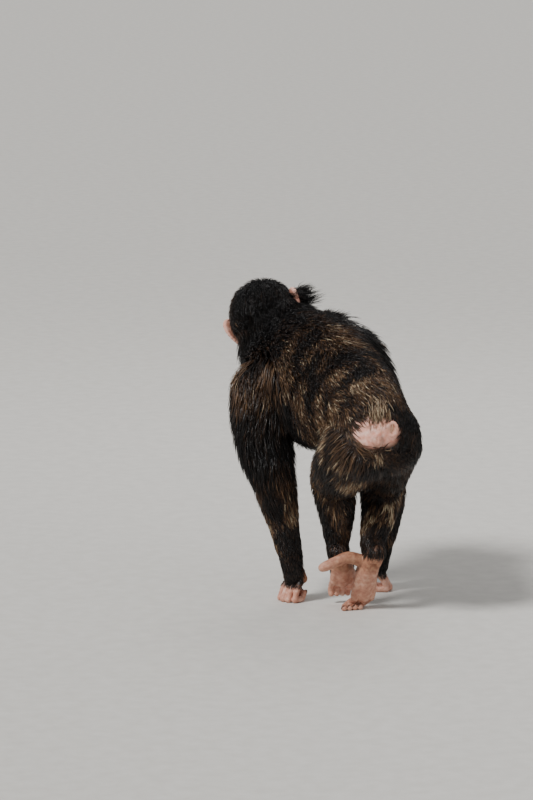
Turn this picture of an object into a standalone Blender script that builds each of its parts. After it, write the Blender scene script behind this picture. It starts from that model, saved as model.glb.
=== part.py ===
"""A young chimpanzee of four or five years, life size, as a museum shows one: knuckle-walking, with its
weight on both sets of knuckles and the toes of its right foot, while its left foot swings forward.
Metres, +Z up. It faces -Y, so its left is +X. The body is shaped whole, from tapering limbs and rounded
muscles, and long locks of coat are fused to it. Thin cuts then part it where a person would name its parts."""

import math
import random

import bmesh
import bpy
from mathutils import Matrix, Vector
from mathutils.bvhtree import BVHTree

# Places are given as (forward of the tail's root, to the animal's left, above the floor).
MIDDLE = (0.2422, -0.0095)
GAP = 0.0003
CROWDED = 0.00002
COAT_BED = 0.008
BED_AT_END = 0.2
BODY_GRAIN = 0.0065
FINE_GRAIN = 0.0021
EAR_GRAIN = 0.0013
BODY_FACES = 1600
HEAD_FACES = 1350
HAND_FACES = 640
FOOT_FACES = 600
EAR_FACES = 240
HEAD_BED = 0.005

# Trunk muscles and bone: middle, then half sizes along the same three directions, and a roll in degrees.
TRUNK = {
    "pelvis": ((0.060, 0.000, 0.375), (0.085, 0.074, 0.074), 0),
    "buttock_left": ((0.015, 0.038, 0.362), (0.050, 0.046, 0.054), 0),
    "buttock_right": ((0.015, -0.038, 0.362), (0.050, 0.046, 0.054), 0),
    "belly": ((0.165, 0.000, 0.412), (0.115, 0.084, 0.087), -4),
    "ribs": ((0.285, 0.010, 0.432), (0.130, 0.088, 0.100), -8),
    "breast": ((0.365, 0.015, 0.425), (0.070, 0.092, 0.088), -10),
    "blade_left": ((0.335, 0.070, 0.462), (0.075, 0.045, 0.042), -14),
    "blade_right": ((0.335, -0.054, 0.500), (0.078, 0.050, 0.046), -14),
}

# Limbs from the trunk outwards: each station is a place and the radius of the skin there.
NECK = (((0.360, 0.012, 0.470), 0.062), ((0.410, 0.026, 0.506), 0.056), ((0.458, 0.040, 0.540), 0.052))
ARM_LEFT = (
    ((0.358, 0.098, 0.418), 0.057),
    ((0.326, 0.114, 0.330), 0.042),
    ((0.280, 0.112, 0.237), 0.033),
    ((0.270, 0.102, 0.175), 0.030),
    ((0.262, 0.081, 0.088), 0.020),
)
ARM_RIGHT = (
    ((0.358, -0.096, 0.458), 0.060),
    ((0.330, -0.128, 0.352), 0.045),
    ((0.290, -0.136, 0.240), 0.033),
    ((0.290, -0.142, 0.175), 0.030),
    ((0.287, -0.130, 0.088), 0.020),
)
SPINE = (((0.010, 0.000, 0.392), 0.045), ((0.090, 0.000, 0.420), 0.062), ((0.180, 0.000, 0.438), 0.066),
         ((0.280, 0.008, 0.468), 0.068), ((0.370, 0.014, 0.485), 0.062))
LEG_LEFT = (
    ((0.050, 0.038, 0.345), 0.052),
    ((0.115, 0.037, 0.300), 0.043),
    ((0.184, 0.024, 0.258), 0.032),
    ((0.174, 0.020, 0.208), 0.029),
    ((0.168, 0.020, 0.122), 0.018),
)
LEG_RIGHT = (
    ((0.050, -0.038, 0.345), 0.052),
    ((0.120, -0.060, 0.293), 0.043),
    ((0.188, -0.086, 0.238), 0.032),
    ((0.150, -0.064, 0.198), 0.029),
    ((0.106, -0.026, 0.140), 0.019),
)

# Head: the middle of the skull, and how the head is turned, in degrees.
SKULL = (0.480, 0.043, 0.556)
HEAD_TURN = -38
HEAD_NOD = -12
HEAD_TILT = 28
# In the head's own frame: forward, left and up from the middle of the skull.
HEAD_MASSES = {
    "skull": ((-0.006, 0.000, 0.006), (0.067, 0.054, 0.055)),
    "face": ((0.034, 0.000, -0.020), (0.036, 0.043, 0.038)),
    "cheek_left": ((0.040, 0.025, -0.024), (0.020, 0.016, 0.020)),
    "cheek_right": ((0.040, -0.025, -0.024), (0.020, 0.016, 0.020)),
    "muzzle": ((0.065, 0.000, -0.041), (0.034, 0.031, 0.022)),
    "upper_lip": ((0.082, 0.000, -0.041), (0.018, 0.028, 0.012)),
    "jaw": ((0.048, 0.000, -0.058), (0.040, 0.031, 0.017)),
    "lower_lip": ((0.077, 0.000, -0.059), (0.017, 0.024, 0.009)),
    "nose": ((0.075, 0.000, -0.020), (0.015, 0.014, 0.008)),
}
BROW = (((0.044, 0.036, 0.008), 0.009), ((0.056, 0.018, 0.014), 0.010), ((0.058, 0.000, 0.012), 0.009))
EYE_PLACE = (0.0555, 0.0195, -0.003)
EYE_RADIUS = 0.0098
LID_RADIUS = 0.0026
NOSTRIL = ((0.088, 0.0050, -0.0215), (0.0040, 0.0032, 0.0022))
MOUTH_LINE = (((0.046, 0.036, -0.046), 0.0016), ((0.078, 0.032, -0.053), 0.0016),
              ((0.101, 0.014, -0.0515), 0.0016), ((0.104, 0.000, -0.051), 0.0016))
EAR_ROOT = (-0.006, 0.062, -0.004)
EAR_SIZE = (0.0055, 0.0225, 0.0325)
EAR_MIDDLE = (0.001, 0.016, 0.002)
EAR_RIM = 0.0036
EAR_OUTWARD = 27
EAR_LEAN = 20
EAR_GAP = 0.0005

# Hands: the middle of the knuckles on the floor, the way the back of the hand faces, and finger sizes.
KNUCKLES_LEFT = (0.266, 0.072)
KNUCKLES_RIGHT = (0.290, -0.124)
HAND_BACK = (-0.35, 0.94)
FINGER_SPACING = 0.0130
FINGERS = ((0.000, 0.0072), (0.004, 0.0078), (0.003, 0.0076), (-0.003, 0.0068))
PALM_HEIGHT = 0.047
FINGER_REST = 0.0062

# Feet: heel, instep and ball of each foot, the great toe, and the four smaller toes from the ball on.
FOOT_LEFT = (((0.154, 0.024, 0.116), 0.0185), ((0.168, 0.010, 0.084), 0.0180),
             ((0.184, 0.002, 0.052), 0.0145))
GREAT_TOE_LEFT = (((0.172, 0.000, 0.080), 0.0120), ((0.186, -0.016, 0.064), 0.0105),
                  ((0.196, -0.024, 0.048), 0.0098), ((0.201, -0.026, 0.035), 0.0088))
TOES_LEFT = ((0.000, 0.000, 0.050), (0.017, -0.003, 0.042), (0.025, -0.004, 0.029), (0.023, -0.004, 0.020))
FOOT_RIGHT = (((0.090, -0.028, 0.124), 0.0190), ((0.114, -0.021, 0.084), 0.0195),
              ((0.140, -0.024, 0.028), 0.0155))
GREAT_TOE_RIGHT = (((0.112, -0.010, 0.104), 0.0120), ((0.114, 0.020, 0.114), 0.0105),
                   ((0.118, 0.046, 0.106), 0.0095), ((0.121, 0.074, 0.096), 0.0085))
TOES_RIGHT = ((0.000, 0.000, 0.022), (0.014, 0.004, 0.013), (0.010, 0.018, 0.0056), (-0.004, 0.026, 0.0050))
TOE_SPACING = 0.0115
TOE_RADIUS = 0.0070

# Where the body is parted: a place on the cut, the way it faces, and how far it reaches each way.
CUTS = {
    "whole": (
        ((0.437, 0.037, 0.513), (0.80, 0.20, 0.57), 0.125, 0.125),
        ((0.325, 0.079, 0.405), (0.18, 0.98, -0.10), 0.165, 0.155),
        ((0.330, -0.076, 0.405), (0.14, -0.98, -0.16), 0.165, 0.155),
        ((0.238, -0.120, 0.240), (0.99, 0.00, 0.08), 0.060, 0.100),
        ((0.232, 0.068, 0.232), (0.70, 0.70, 0.00), 0.055, 0.090),
        ((0.080, -0.010, 0.323), (0.15, 0.00, 0.99), 0.170, 0.165),
    ),
    "legs": (
        ((0.075, -0.011, 0.300), (0.00, 0.99, -0.11), 0.250, 0.108),
        ((0.150, -0.014, 0.163), (0.50, 0.86, 0.00), 0.110, 0.034),
    ),
    "trunk": (
        ((0.398, 0.024, 0.488), (0.78, 0.18, 0.60), 0.140, 0.140),
        ((0.232, 0.000, 0.420), (0.985, 0.00, 0.17), 0.170, 0.170),
        ((0.112, 0.000, 0.400), (0.985, 0.00, 0.17), 0.170, 0.170),
    ),
    "arm_left": (
        ((0.280, 0.120, 0.238), (0.40, 0.10, 0.91), 0.110, 0.110),
        ((0.262, 0.090, 0.084), (0.04, 0.16, 0.98), 0.070, 0.070),
    ),
    "arm_right": (
        ((0.292, -0.136, 0.243), (0.28, 0.05, 0.96), 0.110, 0.110),
        ((0.287, -0.130, 0.084), (0.02, -0.10, 0.99), 0.070, 0.070),
    ),
    "leg_left": (
        ((0.186, 0.024, 0.257), (-0.42, 0.03, 0.90), 0.100, 0.100),
        ((0.166, 0.020, 0.122), (0.10, 0.00, 0.99), 0.060, 0.060),
    ),
    "leg_right": (
        ((0.186, -0.085, 0.236), (-0.25, -0.05, 0.97), 0.100, 0.100),
        ((0.104, -0.026, 0.138), (0.45, -0.35, 0.82), 0.060, 0.060),
    ),
}

# What each parted piece is called, by a place that lies inside it.
PIECES = {
    "whole": {"head": SKULL, "trunk": (0.20, 0.0, 0.42), "arm_left": (0.325, 0.118, 0.325),
              "arm_right": (0.330, -0.118, 0.345), "legs": (0.13, 0.034, 0.288)},
    "legs": {"leg_left": (0.13, 0.034, 0.288), "leg_right": (0.14, -0.068, 0.276)},
    "head": {"head": SKULL},
    "trunk": {"neck": (0.416, 0.028, 0.502), "chest": (0.32, 0.01, 0.43), "belly": (0.17, 0.0, 0.40),
              "pelvis": (0.06, 0.0, 0.38)},
    "arm_left": {"upper_arm_left": (0.325, 0.118, 0.325), "forearm_left": (0.268, 0.110, 0.170),
                 "hand_left": (0.264, 0.088, 0.062)},
    "arm_right": {"upper_arm_right": (0.330, -0.118, 0.345), "forearm_right": (0.290, -0.142, 0.170),
                  "hand_right": (0.288, -0.128, 0.062)},
    "leg_left": {"thigh_left": (0.13, 0.034, 0.290), "shank_left": (0.174, 0.020, 0.200),
                 "foot_left": (0.168, 0.010, 0.084)},
    "leg_right": {"thigh_right": (0.14, -0.068, 0.278), "shank_right": (0.150, -0.064, 0.198),
                  "foot_right": (0.114, -0.021, 0.084)},
}

# The coat: for each region the line that its hair follows, then the spacing, length, width and lift
# of its locks. Hair runs from the nape to the tail and from each shoulder or hip to the wrist or ankle.
LOCKS = {
    "trunk": (tuple(place for place, _ in reversed(SPINE)), 0.059, 0.082, 0.054, 0.016),
    "neck": (((0.458, 0.040, 0.540), (0.360, 0.012, 0.470)), 0.054, 0.076, 0.052, 0.016),
    "arm_left": (tuple(place for place, _ in ARM_LEFT), 0.054, 0.076, 0.047, 0.017),
    "arm_right": (tuple(place for place, _ in ARM_RIGHT), 0.054, 0.076, 0.047, 0.017),
    "leg_left": (tuple(place for place, _ in LEG_LEFT), 0.054, 0.070, 0.047, 0.015),
    "leg_right": (tuple(place for place, _ in LEG_RIGHT), 0.054, 0.070, 0.047, 0.015),
    "head": (None, 0.042, 0.058, 0.040, 0.012),
    "cheek": (None, 0.028, 0.074, 0.034, 0.030),
}
SLIMMER = ("neck",)
# A lock may lie over from one of these onto the other, and over nothing else.
MEETING = (("head", "cheek"), ("head", "neck"), ("cheek", "neck"), ("neck", "trunk"), ("neck", "arm_left"),
           ("neck", "arm_right"), ("trunk", "arm_left"), ("trunk", "arm_right"), ("trunk", "leg_left"),
           ("trunk", "leg_right"))
LOCK_STEPS = ((0.0, 0.85, 1.0), (0.58, 1.0, 0.85))
LOCK_THICK = 0.0045
LOCK_ROOT = 0.0050
HANG = 0.45
EAR_CLEAR = 0.032
# Locks end here above the floor, so that hands and feet stay bare, and none is shorter than this.
ARM_COAT_END = 0.058
LEG_COAT_END = 0.128
SHORTEST_LOCK = 0.030
RUMP_PATCH = ((-0.030, 0.000, 0.372), 0.034)
HAIRLINE = 0.030
SKULL_REACH = 0.090
SEED = 2

BLACK_COAT = (0.020, 0.014, 0.011)
BARE_SKIN = (0.50, 0.27, 0.19)
EAR_SKIN = (0.60, 0.34, 0.25)
EYE_BROWN = (0.06, 0.02, 0.01)
BARE = {"hand": (BARE_SKIN, 0.6), "foot": (BARE_SKIN, 0.6), "ear": (EAR_SKIN, 0.6), "eye": (EYE_BROWN, 0.15)}


def at(place):
    """The point of the frame at a place given forward, left and up."""
    forward, left, up = place
    return Vector((left - MIDDLE[1], MIDDLE[0] - forward, up))


def toward(direction):
    """A direction given forward, left and up, as a unit vector of the frame."""
    forward, left, up = direction
    return Vector((left, -forward, up)).normalized()


def head_frame():
    """Turns the head's own forward, left and up into the frame, from the middle of the skull."""
    turn = Matrix.Rotation(math.radians(HEAD_TURN), 3, "Z")
    nod = Matrix.Rotation(-math.radians(HEAD_NOD), 3, "Y")
    tilt = Matrix.Rotation(-math.radians(HEAD_TILT), 3, "X")
    to_frame = Matrix(((0, 1, 0), (-1, 0, 0), (0, 0, 1)))
    return Matrix.Translation(at(SKULL)) @ (to_frame @ turn @ nod @ tilt).to_4x4()


def clear_scene():
    for thing in list(bpy.data.objects):
        bpy.data.objects.remove(thing, do_unlink=True)


def collection(name, shown=True):
    made = bpy.data.collections.new(name)
    made.hide_render = not shown
    bpy.context.scene.collection.children.link(made)
    return made


def finish(name, colour, roughness):
    material = bpy.data.materials.new(name)
    material.use_nodes = True
    shader = material.node_tree.nodes["Principled BSDF"]
    shader.inputs["Base Color"].default_value = (*colour, 1)
    shader.inputs["Roughness"].default_value = roughness
    return material


def rounded(bm, middle, half, turn=None, rings=12):
    """Adds an ellipsoid to bm, with its half sizes along the frame's own axes or those of turn."""
    turn = turn or Matrix.Identity(3)
    place = Matrix.Translation(middle) @ turn.to_4x4() @ Matrix.Diagonal((*half, 1))
    bmesh.ops.create_uvsphere(bm, u_segments=2 * rings, v_segments=rings, radius=1, matrix=place)


def limb(bm, stations, grow=0.0):
    """Adds a tapering limb through its stations, which are points and radii, with round ends.
    What it grows by thins out towards its last station, as a coat does towards a wrist or an ankle."""
    last = len(stations) - 1
    stations = [(middle, radius + grow * (BED_AT_END if index == last else 1))
                for index, (middle, radius) in enumerate(stations)]
    curve = bpy.data.curves.new("limb", "CURVE")
    curve.dimensions = "3D"
    curve.bevel_depth = 1.0
    curve.bevel_resolution = 4
    curve.resolution_u = 8
    curve.use_fill_caps = True
    spline = curve.splines.new("BEZIER")
    spline.bezier_points.add(len(stations) - 1)
    for point, (middle, radius) in zip(spline.bezier_points, stations):
        point.co = middle
        point.radius = radius
        point.handle_left_type = point.handle_right_type = "AUTO"
    carrier = bpy.data.objects.new("limb", curve)
    bpy.context.scene.collection.objects.link(carrier)
    graph = bpy.context.evaluated_depsgraph_get()
    mesh = bpy.data.meshes.new_from_object(carrier.evaluated_get(graph))
    bm.from_mesh(mesh)
    bpy.data.objects.remove(carrier)
    bpy.data.meshes.remove(mesh)
    bmesh.ops.remove_doubles(bm, verts=bm.verts, dist=0.00001)
    for middle, radius in (stations[0], stations[-1]):
        rounded(bm, middle, (radius,) * 3, rings=8)


def solid(name, bm, group):
    """Turns bm into an object of the group, with its faces outward."""
    bmesh.ops.recalc_face_normals(bm, faces=bm.faces)
    mesh = bpy.data.meshes.new(name)
    bm.to_mesh(mesh)
    bm.free()
    thing = bpy.data.objects.new(name, mesh)
    group.objects.link(thing)
    return thing


def apply_modifiers(thing):
    graph = bpy.context.evaluated_depsgraph_get()
    mesh = bpy.data.meshes.new_from_object(thing.evaluated_get(graph))
    thing.modifiers.clear()
    thing.data = mesh


def grown_together(thing, grain, smoothing, faces):
    """Makes one skin of overlapping masses, softens the creases between them and thins its faces."""
    remesh = thing.modifiers.new("skin", "REMESH")
    remesh.mode = "VOXEL"
    remesh.voxel_size = grain
    soften = thing.modifiers.new("soften", "SMOOTH")
    soften.factor = 0.5
    soften.iterations = smoothing
    apply_modifiers(thing)
    thin = thing.modifiers.new("thin", "DECIMATE")
    thin.use_collapse_triangulate = True
    thin.ratio = min(1.0, faces / (2 * len(thing.data.polygons)))
    apply_modifiers(thing)


def joined(thing, others, operation="UNION"):
    """Joins the meshes of a collection to thing, or cuts them from it, and removes them."""
    modifier = thing.modifiers.new("join", "BOOLEAN")
    modifier.operation = operation
    modifier.operand_type = "COLLECTION"
    modifier.collection = others
    modifier.solver = "MANIFOLD"
    apply_modifiers(thing)
    for other in list(others.objects):
        bpy.data.objects.remove(other)
    bpy.data.collections.remove(others)


def plate(group, middle, facing, half_across, half_up, thickness=GAP):
    """Adds a thin plate to cut with: its middle, the way it faces, and its reach across and up."""
    across = facing.cross(Vector((0, 0, 1)))
    if across.length < 0.5:
        across = facing.cross(Vector((1, 0, 0)))
    across.normalize()
    turn = Matrix((across, across.cross(facing), facing)).transposed().to_4x4()
    size = Matrix.Diagonal((2 * half_across, 2 * half_up, thickness, 1))
    bm = bmesh.new()
    bmesh.ops.create_cube(bm, size=1, matrix=Matrix.Translation(middle) @ turn @ size)
    return solid("plate", bm, group)


def loose_parts(bm):
    """The closed surfaces of a bmesh, each as its own bmesh, the largest first. It frees the one given."""
    bmesh.ops.triangulate(bm, faces=bm.faces)
    by_corners = {}
    for face in bm.faces:
        by_corners.setdefault(frozenset(face.verts), []).append(face)
    # Two faces on the same corners are a flap with nothing inside it, and neither is kept.
    flaps = [face for same in by_corners.values() for face in same[len(same) % 2:]]
    bmesh.ops.delete(bm, geom=flaps, context="FACES")
    seen = set()
    pieces = []
    bm.faces.index_update()
    for face in bm.faces:
        if face.index in seen:
            continue
        seen.add(face.index)
        found = [face]
        for here in found:
            for edge in here.edges:
                # Where more than two faces meet, two surfaces only touch.
                for other in edge.link_faces if len(edge.link_faces) == 2 else ():
                    if other.index not in seen:
                        seen.add(other.index)
                        found.append(other)
        piece = bmesh.new()
        corners = dict.fromkeys(vert for face in found for vert in face.verts)
        copies = {vert: piece.verts.new(vert.co) for vert in corners}
        for face in found:
            piece.faces.new([copies[vert] for vert in face.verts])
        piece.normal_update()
        pieces.append(piece)
    bm.free()
    pieces.sort(key=lambda piece: -abs(piece.calc_volume()))
    return pieces


def opened_up(piece):
    """Moves corners that a Boolean left against another face a little way off it, towards their own
    neighbours."""
    draw = random.Random(SEED)
    piece.faces.index_update()
    for _ in range(8):
        tree = BVHTree.FromBMesh(piece)
        crowded = []
        for vert in piece.verts:
            own = {face.index for face in vert.link_faces}
            if any(index not in own for _, _, index, _ in tree.find_nearest_range(vert.co, CROWDED)):
                crowded.append(vert)
        for vert in crowded:
            around = [edge.other_vert(vert).co for edge in vert.link_edges]
            way = sum(around, Vector()) / len(around) - vert.co
            aside = Vector([draw.uniform(-1, 1) for _ in range(3)]) * CROWDED
            vert.co += way.normalized() * min(CROWDED * 4, way.length * 0.3) + aside
        if not crowded:
            break
    return piece


def holds(piece, point):
    """True where the closed bmesh has the point inside it, so that a ray from there crosses it an odd
    number of times."""
    tree = BVHTree.FromBMesh(piece)
    way = Vector((0.31, 0.17, 0.93)).normalized()
    crossings = 0
    here = point
    while True:
        here, _, _, _ = tree.ray_cast(here, way)
        if here is None:
            return crossings % 2 == 1
        crossings += 1
        here = here + way * 0.00001


def parted(thing, group, places):
    """Cuts thing along its plates and gives back the pieces that hold each named place."""
    if thing.name in CUTS:
        cutters = collection("cutters")
        for place, facing, across, up in CUTS[thing.name]:
            plate(cutters, at(place), toward(facing), across, up)
        joined(thing, cutters, "DIFFERENCE")
    bm = bmesh.new()
    bm.from_mesh(thing.data)
    pieces = loose_parts(bm)
    bpy.data.objects.remove(thing)
    found = {}
    taken = set()
    for name, place in places.items():
        index = next((i for i, piece in enumerate(pieces) if holds(piece, place)), None)
        if index is None or index in taken:
            raise SystemExit(f"no piece of its own holds the middle of {name}")
        taken.add(index)
        found[name] = solid(name, opened_up(pieces[index].copy()), group)
    for piece in pieces:
        piece.free()
    return found


def places_in(name):
    """The named places inside the pieces of a part, as points of the frame."""
    return {piece: at(place) for piece, place in PIECES[name].items()}


def finger(bm, points, radius):
    """Adds a finger or toe through its joints, a little thinner towards its tip."""
    last = len(points) - 1
    limb(bm, [(point, radius * (1 - 0.18 * index / last)) for index, point in enumerate(points)])


def hand(side, wrist, knuckles, group):
    """A hand standing on its knuckles: palm upright, fingers folded, the middle joints on the floor."""
    back = toward((HAND_BACK[0], side * HAND_BACK[1], 0))
    thumb_way = toward((HAND_BACK[1], -side * HAND_BACK[0], 0))
    ground = at((*knuckles, 0))
    top = at(wrist)
    bm = bmesh.new()
    for index, (longer, radius) in enumerate(FINGERS):
        aside = thumb_way * (1.5 - index) * FINGER_SPACING
        root = ground + aside * 0.92 - back * 0.006 + Vector((0, 0, PALM_HEIGHT))
        knuckle = ground + aside + back * (0.021 + longer) + Vector((0, 0, FINGER_REST))
        fold = knuckle - back * (0.023 + longer) + Vector((0, 0, 0.0004))
        tip = fold - back * 0.007 + Vector((0, 0, 0.012))
        limb(bm, [(top + aside * 0.35, 0.0125), (root, 0.0098)])
        finger(bm, [root, root.lerp(knuckle, 0.5) + back * 0.004, knuckle], radius)
        finger(bm, [knuckle, fold, tip], radius * 0.92)
    rounded(bm, top.lerp(ground, 0.36), (0.017, 0.017, 0.024))
    thumb_root = top - Vector((0, 0, 0.014)) + thumb_way * 0.014 - back * 0.006
    thumb_tip = thumb_root + thumb_way * 0.010 - back * 0.012 - Vector((0, 0, 0.036))
    finger(bm, [thumb_root, thumb_root.lerp(thumb_tip, 0.5) + thumb_way * 0.004, thumb_tip], 0.0072)
    limb(bm, [(top + Vector((0, 0, 0.012)), 0.0185), (top - Vector((0, 0, 0.012)), 0.0175)])
    grown_together(solid("hand", bm, group), FINE_GRAIN, 3, HAND_FACES)


def foot(stations, great_toe, toes, breadth, ankle, group):
    """A foot with a raised heel, a broad ball, a great toe set off to the side and four small toes."""
    bm = bmesh.new()
    heel, instep, ball = [at(place) for place, _ in stations]
    radii = [radius for _, radius in stations]
    across = toward(breadth)
    limb(bm, list(zip((heel, instep, ball), radii)))
    limb(bm, [(at(ankle), 0.0185), (heel.lerp(instep, 0.35), 0.0165)])
    for index in range(4):
        aside = across * (1.5 - index) * TOE_SPACING
        limb(bm, [(heel.lerp(instep, 0.5) + aside * 0.45, 0.0120), (instep + aside * 0.7, 0.0105),
                  (ball + aside, 0.0092)])
        start = Vector((ball.x, ball.y, 0)) + aside
        steps = [start + Vector((left, -forward, up)) for forward, left, up in toes]
        finger(bm, steps, TOE_RADIUS)
    limb(bm, [(at(place), radius) for place, radius in great_toe])
    grown_together(solid("foot", bm, group), FINE_GRAIN, 3, FOOT_FACES)


def head(group):
    """The head before its coat: skull, brow, cheeks, muzzle, lips, lids, nose and the root of the neck."""
    frame = head_frame()
    turn = frame.to_3x3()
    bm = bmesh.new()
    for name, (middle, half) in HEAD_MASSES.items():
        bed = HEAD_BED if name == "skull" else 0.0
        rounded(bm, frame @ Vector(middle), [size + bed for size in half], turn, rings=16)
    mirrored = [((x, -y, z), radius) for (x, y, z), radius in reversed(BROW[:-1])]
    limb(bm, [(frame @ Vector(place), radius) for place, radius in (*BROW, *mirrored)])
    for side in (1, -1):
        eye = Vector((EYE_PLACE[0], side * EYE_PLACE[1], EYE_PLACE[2]))
        for rise in (1, -1):
            lid = [eye + Vector((0.0068 + 0.0022 * math.sin(math.radians(angle)),
                                 side * 0.0105 * math.cos(math.radians(angle)),
                                 rise * 0.0062 * math.sin(math.radians(angle))))
                   for angle in range(0, 181, 30)]
            limb(bm, [(frame @ place, LID_RADIUS) for place in lid])
    neck_end, neck_radius = NECK[-1]
    limb(bm, [(at(neck_end), neck_radius - 0.008), (frame @ Vector((-0.02, 0, 0)), 0.048)])
    made = solid("head", bm, group)
    grown_together(made, FINE_GRAIN, 3, HEAD_FACES)
    joined(made, face_openings(), "DIFFERENCE")


def face_openings():
    """What is taken out of the head: eye sockets, nostrils and the line between the lips."""
    frame = head_frame()
    turn = frame.to_3x3()
    cutters = collection("face_cutters")
    for side in (1, -1):
        bm = bmesh.new()
        eye = Vector((EYE_PLACE[0], side * EYE_PLACE[1], EYE_PLACE[2]))
        rounded(bm, frame @ eye, (EYE_RADIUS + GAP,) * 3, turn, rings=12)
        solid("socket", bm, cutters)
        bm = bmesh.new()
        (x, y, z), half = NOSTRIL
        rounded(bm, frame @ Vector((x, side * y, z)), half, turn, rings=5)
        solid("nostril", bm, cutters)
    mirrored = [((x, -y, z), radius) for (x, y, z), radius in reversed(MOUTH_LINE[:-1])]
    bm = bmesh.new()
    limb(bm, [(frame @ Vector(place), radius) for place, radius in (*MOUTH_LINE, *mirrored)])
    line = solid("mouth", bm, cutters)
    grown_together(line, 0.0008, 1, 260)
    return cutters


def ear_frame(side):
    """The ear's own frame: x away from the head, y towards its free back edge, and z up, leaning back."""
    x, y, z = EAR_ROOT
    outward = Matrix.Rotation(side * math.radians(90 - EAR_OUTWARD), 4, "Z")
    lean = Matrix.Rotation(-side * math.radians(EAR_LEAN), 4, "X")
    return head_frame() @ Matrix.Translation((x, side * y, z)) @ outward @ lean


def ear(side, group):
    """A large round ear: a rim folded round a cup, with the hole's hollow near its front edge."""
    frame = ear_frame(side)
    _, wide, tall = EAR_SIZE
    bm = bmesh.new()
    middle = Vector((EAR_MIDDLE[0], side * EAR_MIDDLE[1], EAR_MIDDLE[2]))
    rounded(bm, frame @ middle, (0.0030, wide - 0.003, tall - 0.003), frame.to_3x3(), rings=12)
    rim = []
    for angle in range(-75, 256, 30):
        turned = math.radians(angle)
        fold = 0.0035 * math.sin(math.radians(max(0, min(180, angle + 20))))
        rim.append((frame @ (middle + Vector((fold, side * (wide - EAR_RIM) * math.cos(turned),
                                              (tall - EAR_RIM) * math.sin(turned)))), EAR_RIM))
    limb(bm, rim)
    limb(bm, [(frame @ Vector((-0.008, -side * 0.003, -0.004)), 0.010),
              (frame @ Vector((0.000, side * 0.006, -0.001)), 0.0075)])
    made = solid("ear_left" if side > 0 else "ear_right", bm, group)
    grown_together(made, EAR_GRAIN, 3, EAR_FACES)
    return made


def room_for(thing, group):
    """A copy of thing grown by the gap, to cut the hollow that thing stands in."""
    bm = bmesh.new()
    bm.from_mesh(thing.data)
    bm.normal_update()
    moved = [(vert, vert.co + vert.normal * EAR_GAP) for vert in bm.verts]
    for vert, place in moved:
        vert.co = place
    return solid("room", bm, group)


def eye(side, group):
    """An eyeball, set in its socket behind the lids."""
    place = head_frame() @ Vector((EYE_PLACE[0], side * EYE_PLACE[1], EYE_PLACE[2]))
    bm = bmesh.new()
    rounded(bm, place, (EYE_RADIUS,) * 3, rings=7)
    return solid("eye_left" if side > 0 else "eye_right", bm, group)


def nearest_on(line, point):
    """The distance from a point to a line of places, and the way that the line runs there."""
    best = None
    for start, end in zip(line, line[1:]):
        a, b = at(start), at(end)
        run = b - a
        share = max(0.0, min(1.0, (point - a).dot(run) / run.length_squared))
        away = (point - a - run * share).length
        if best is None or away < best[0]:
            best = (away, run.normalized())
    return best


def region_of(point, to_head):
    """Which line of the coat a point of the skin belongs to, and the way that the hair runs there."""
    local = to_head @ point
    turn = to_head.inverted().to_3x3()
    if local.length < SKULL_REACH and local.x > -0.060:
        side = 1 if local.y > 0 else -1
        if local.x > HAIRLINE - 0.25 * abs(local.y) - 0.10 * local.z and local.z < 0.050:
            return None, None
        if local.z < -0.020 and local.x > -0.030:
            return "cheek", turn @ Vector((-0.15, side * 0.62, -0.75))
        return "head", turn @ Vector((-0.75, 0, -0.50))
    options = [(nearest_on(row[0], point), name) for name, row in LOCKS.items() if row[0]]
    (_, run), name = min(options, key=lambda option: option[0][0] + (0.022 if option[1] in SLIMMER else 0))
    return name, run


def room_below(name, point):
    """How long a lock may be before it would cover a hand or a foot."""
    end = {"arm": ARM_COAT_END, "leg": LEG_COAT_END}.get(name.split("_")[0], 0)
    return point.z - end


def lock(group, tree, name, to_head, root, run, length, width, lift):
    """One flat, tapered lock: it starts under the skin, follows the body and hangs clear at its tip.
    None is made where it would lie against an ear, or reach over to another limb."""
    place, normal, _, _ = tree.find_nearest(root)
    down = Vector((0, 0, -1))
    way = (run + down * HANG)
    way = (way - normal * way.dot(normal)).normalized()
    ears = [ear_frame(side) @ Vector((EAR_MIDDLE[0], side * EAR_MIDDLE[1], EAR_MIDDLE[2])) for side in (1, -1)]
    bm = bmesh.new()
    rings = []
    travelled = 0.0
    for share, wide, thick in LOCK_STEPS:
        step = (share - travelled) * length
        travelled = share
        place, normal, _, _ = tree.find_nearest(place + way * step)
        way = (way - normal * way.dot(normal)).normalized()
        across = way.cross(normal)
        middle = place + normal * ((LOCK_ROOT + lift) * share - LOCK_ROOT)
        half = across * width * 0.5 * wide
        deep = normal * LOCK_THICK * thick
        rings.append([bm.verts.new(middle + offset) for offset in (half, deep, -half, -deep)])
    tip = rings[-1][0].co.lerp(rings[-1][2].co, 0.5) + way * length * (1 - travelled)
    tip_vert = bm.verts.new(tip + normal * lift * 0.4 + down * lift * 0.3)
    at_ear = any((vert.co - ear_middle).length < EAR_CLEAR for vert in bm.verts for ear_middle in ears)
    below, _, _, _ = tree.find_nearest(tip_vert.co)
    other, _ = region_of(below, to_head)
    if at_ear or not {name, other} <= set().union(*(pair for pair in MEETING if name in pair)):
        bm.free()
        return
    bm.faces.new(rings[0])
    for first, second in zip(rings, rings[1:]):
        for index in range(4):
            after = (index + 1) % 4
            bm.faces.new((first[index], first[after], second[after], second[index]))
    for index in range(4):
        bm.faces.new((rings[-1][index], rings[-1][(index + 1) % 4], tip_vert))
    solid("lock", bm, group)


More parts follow.
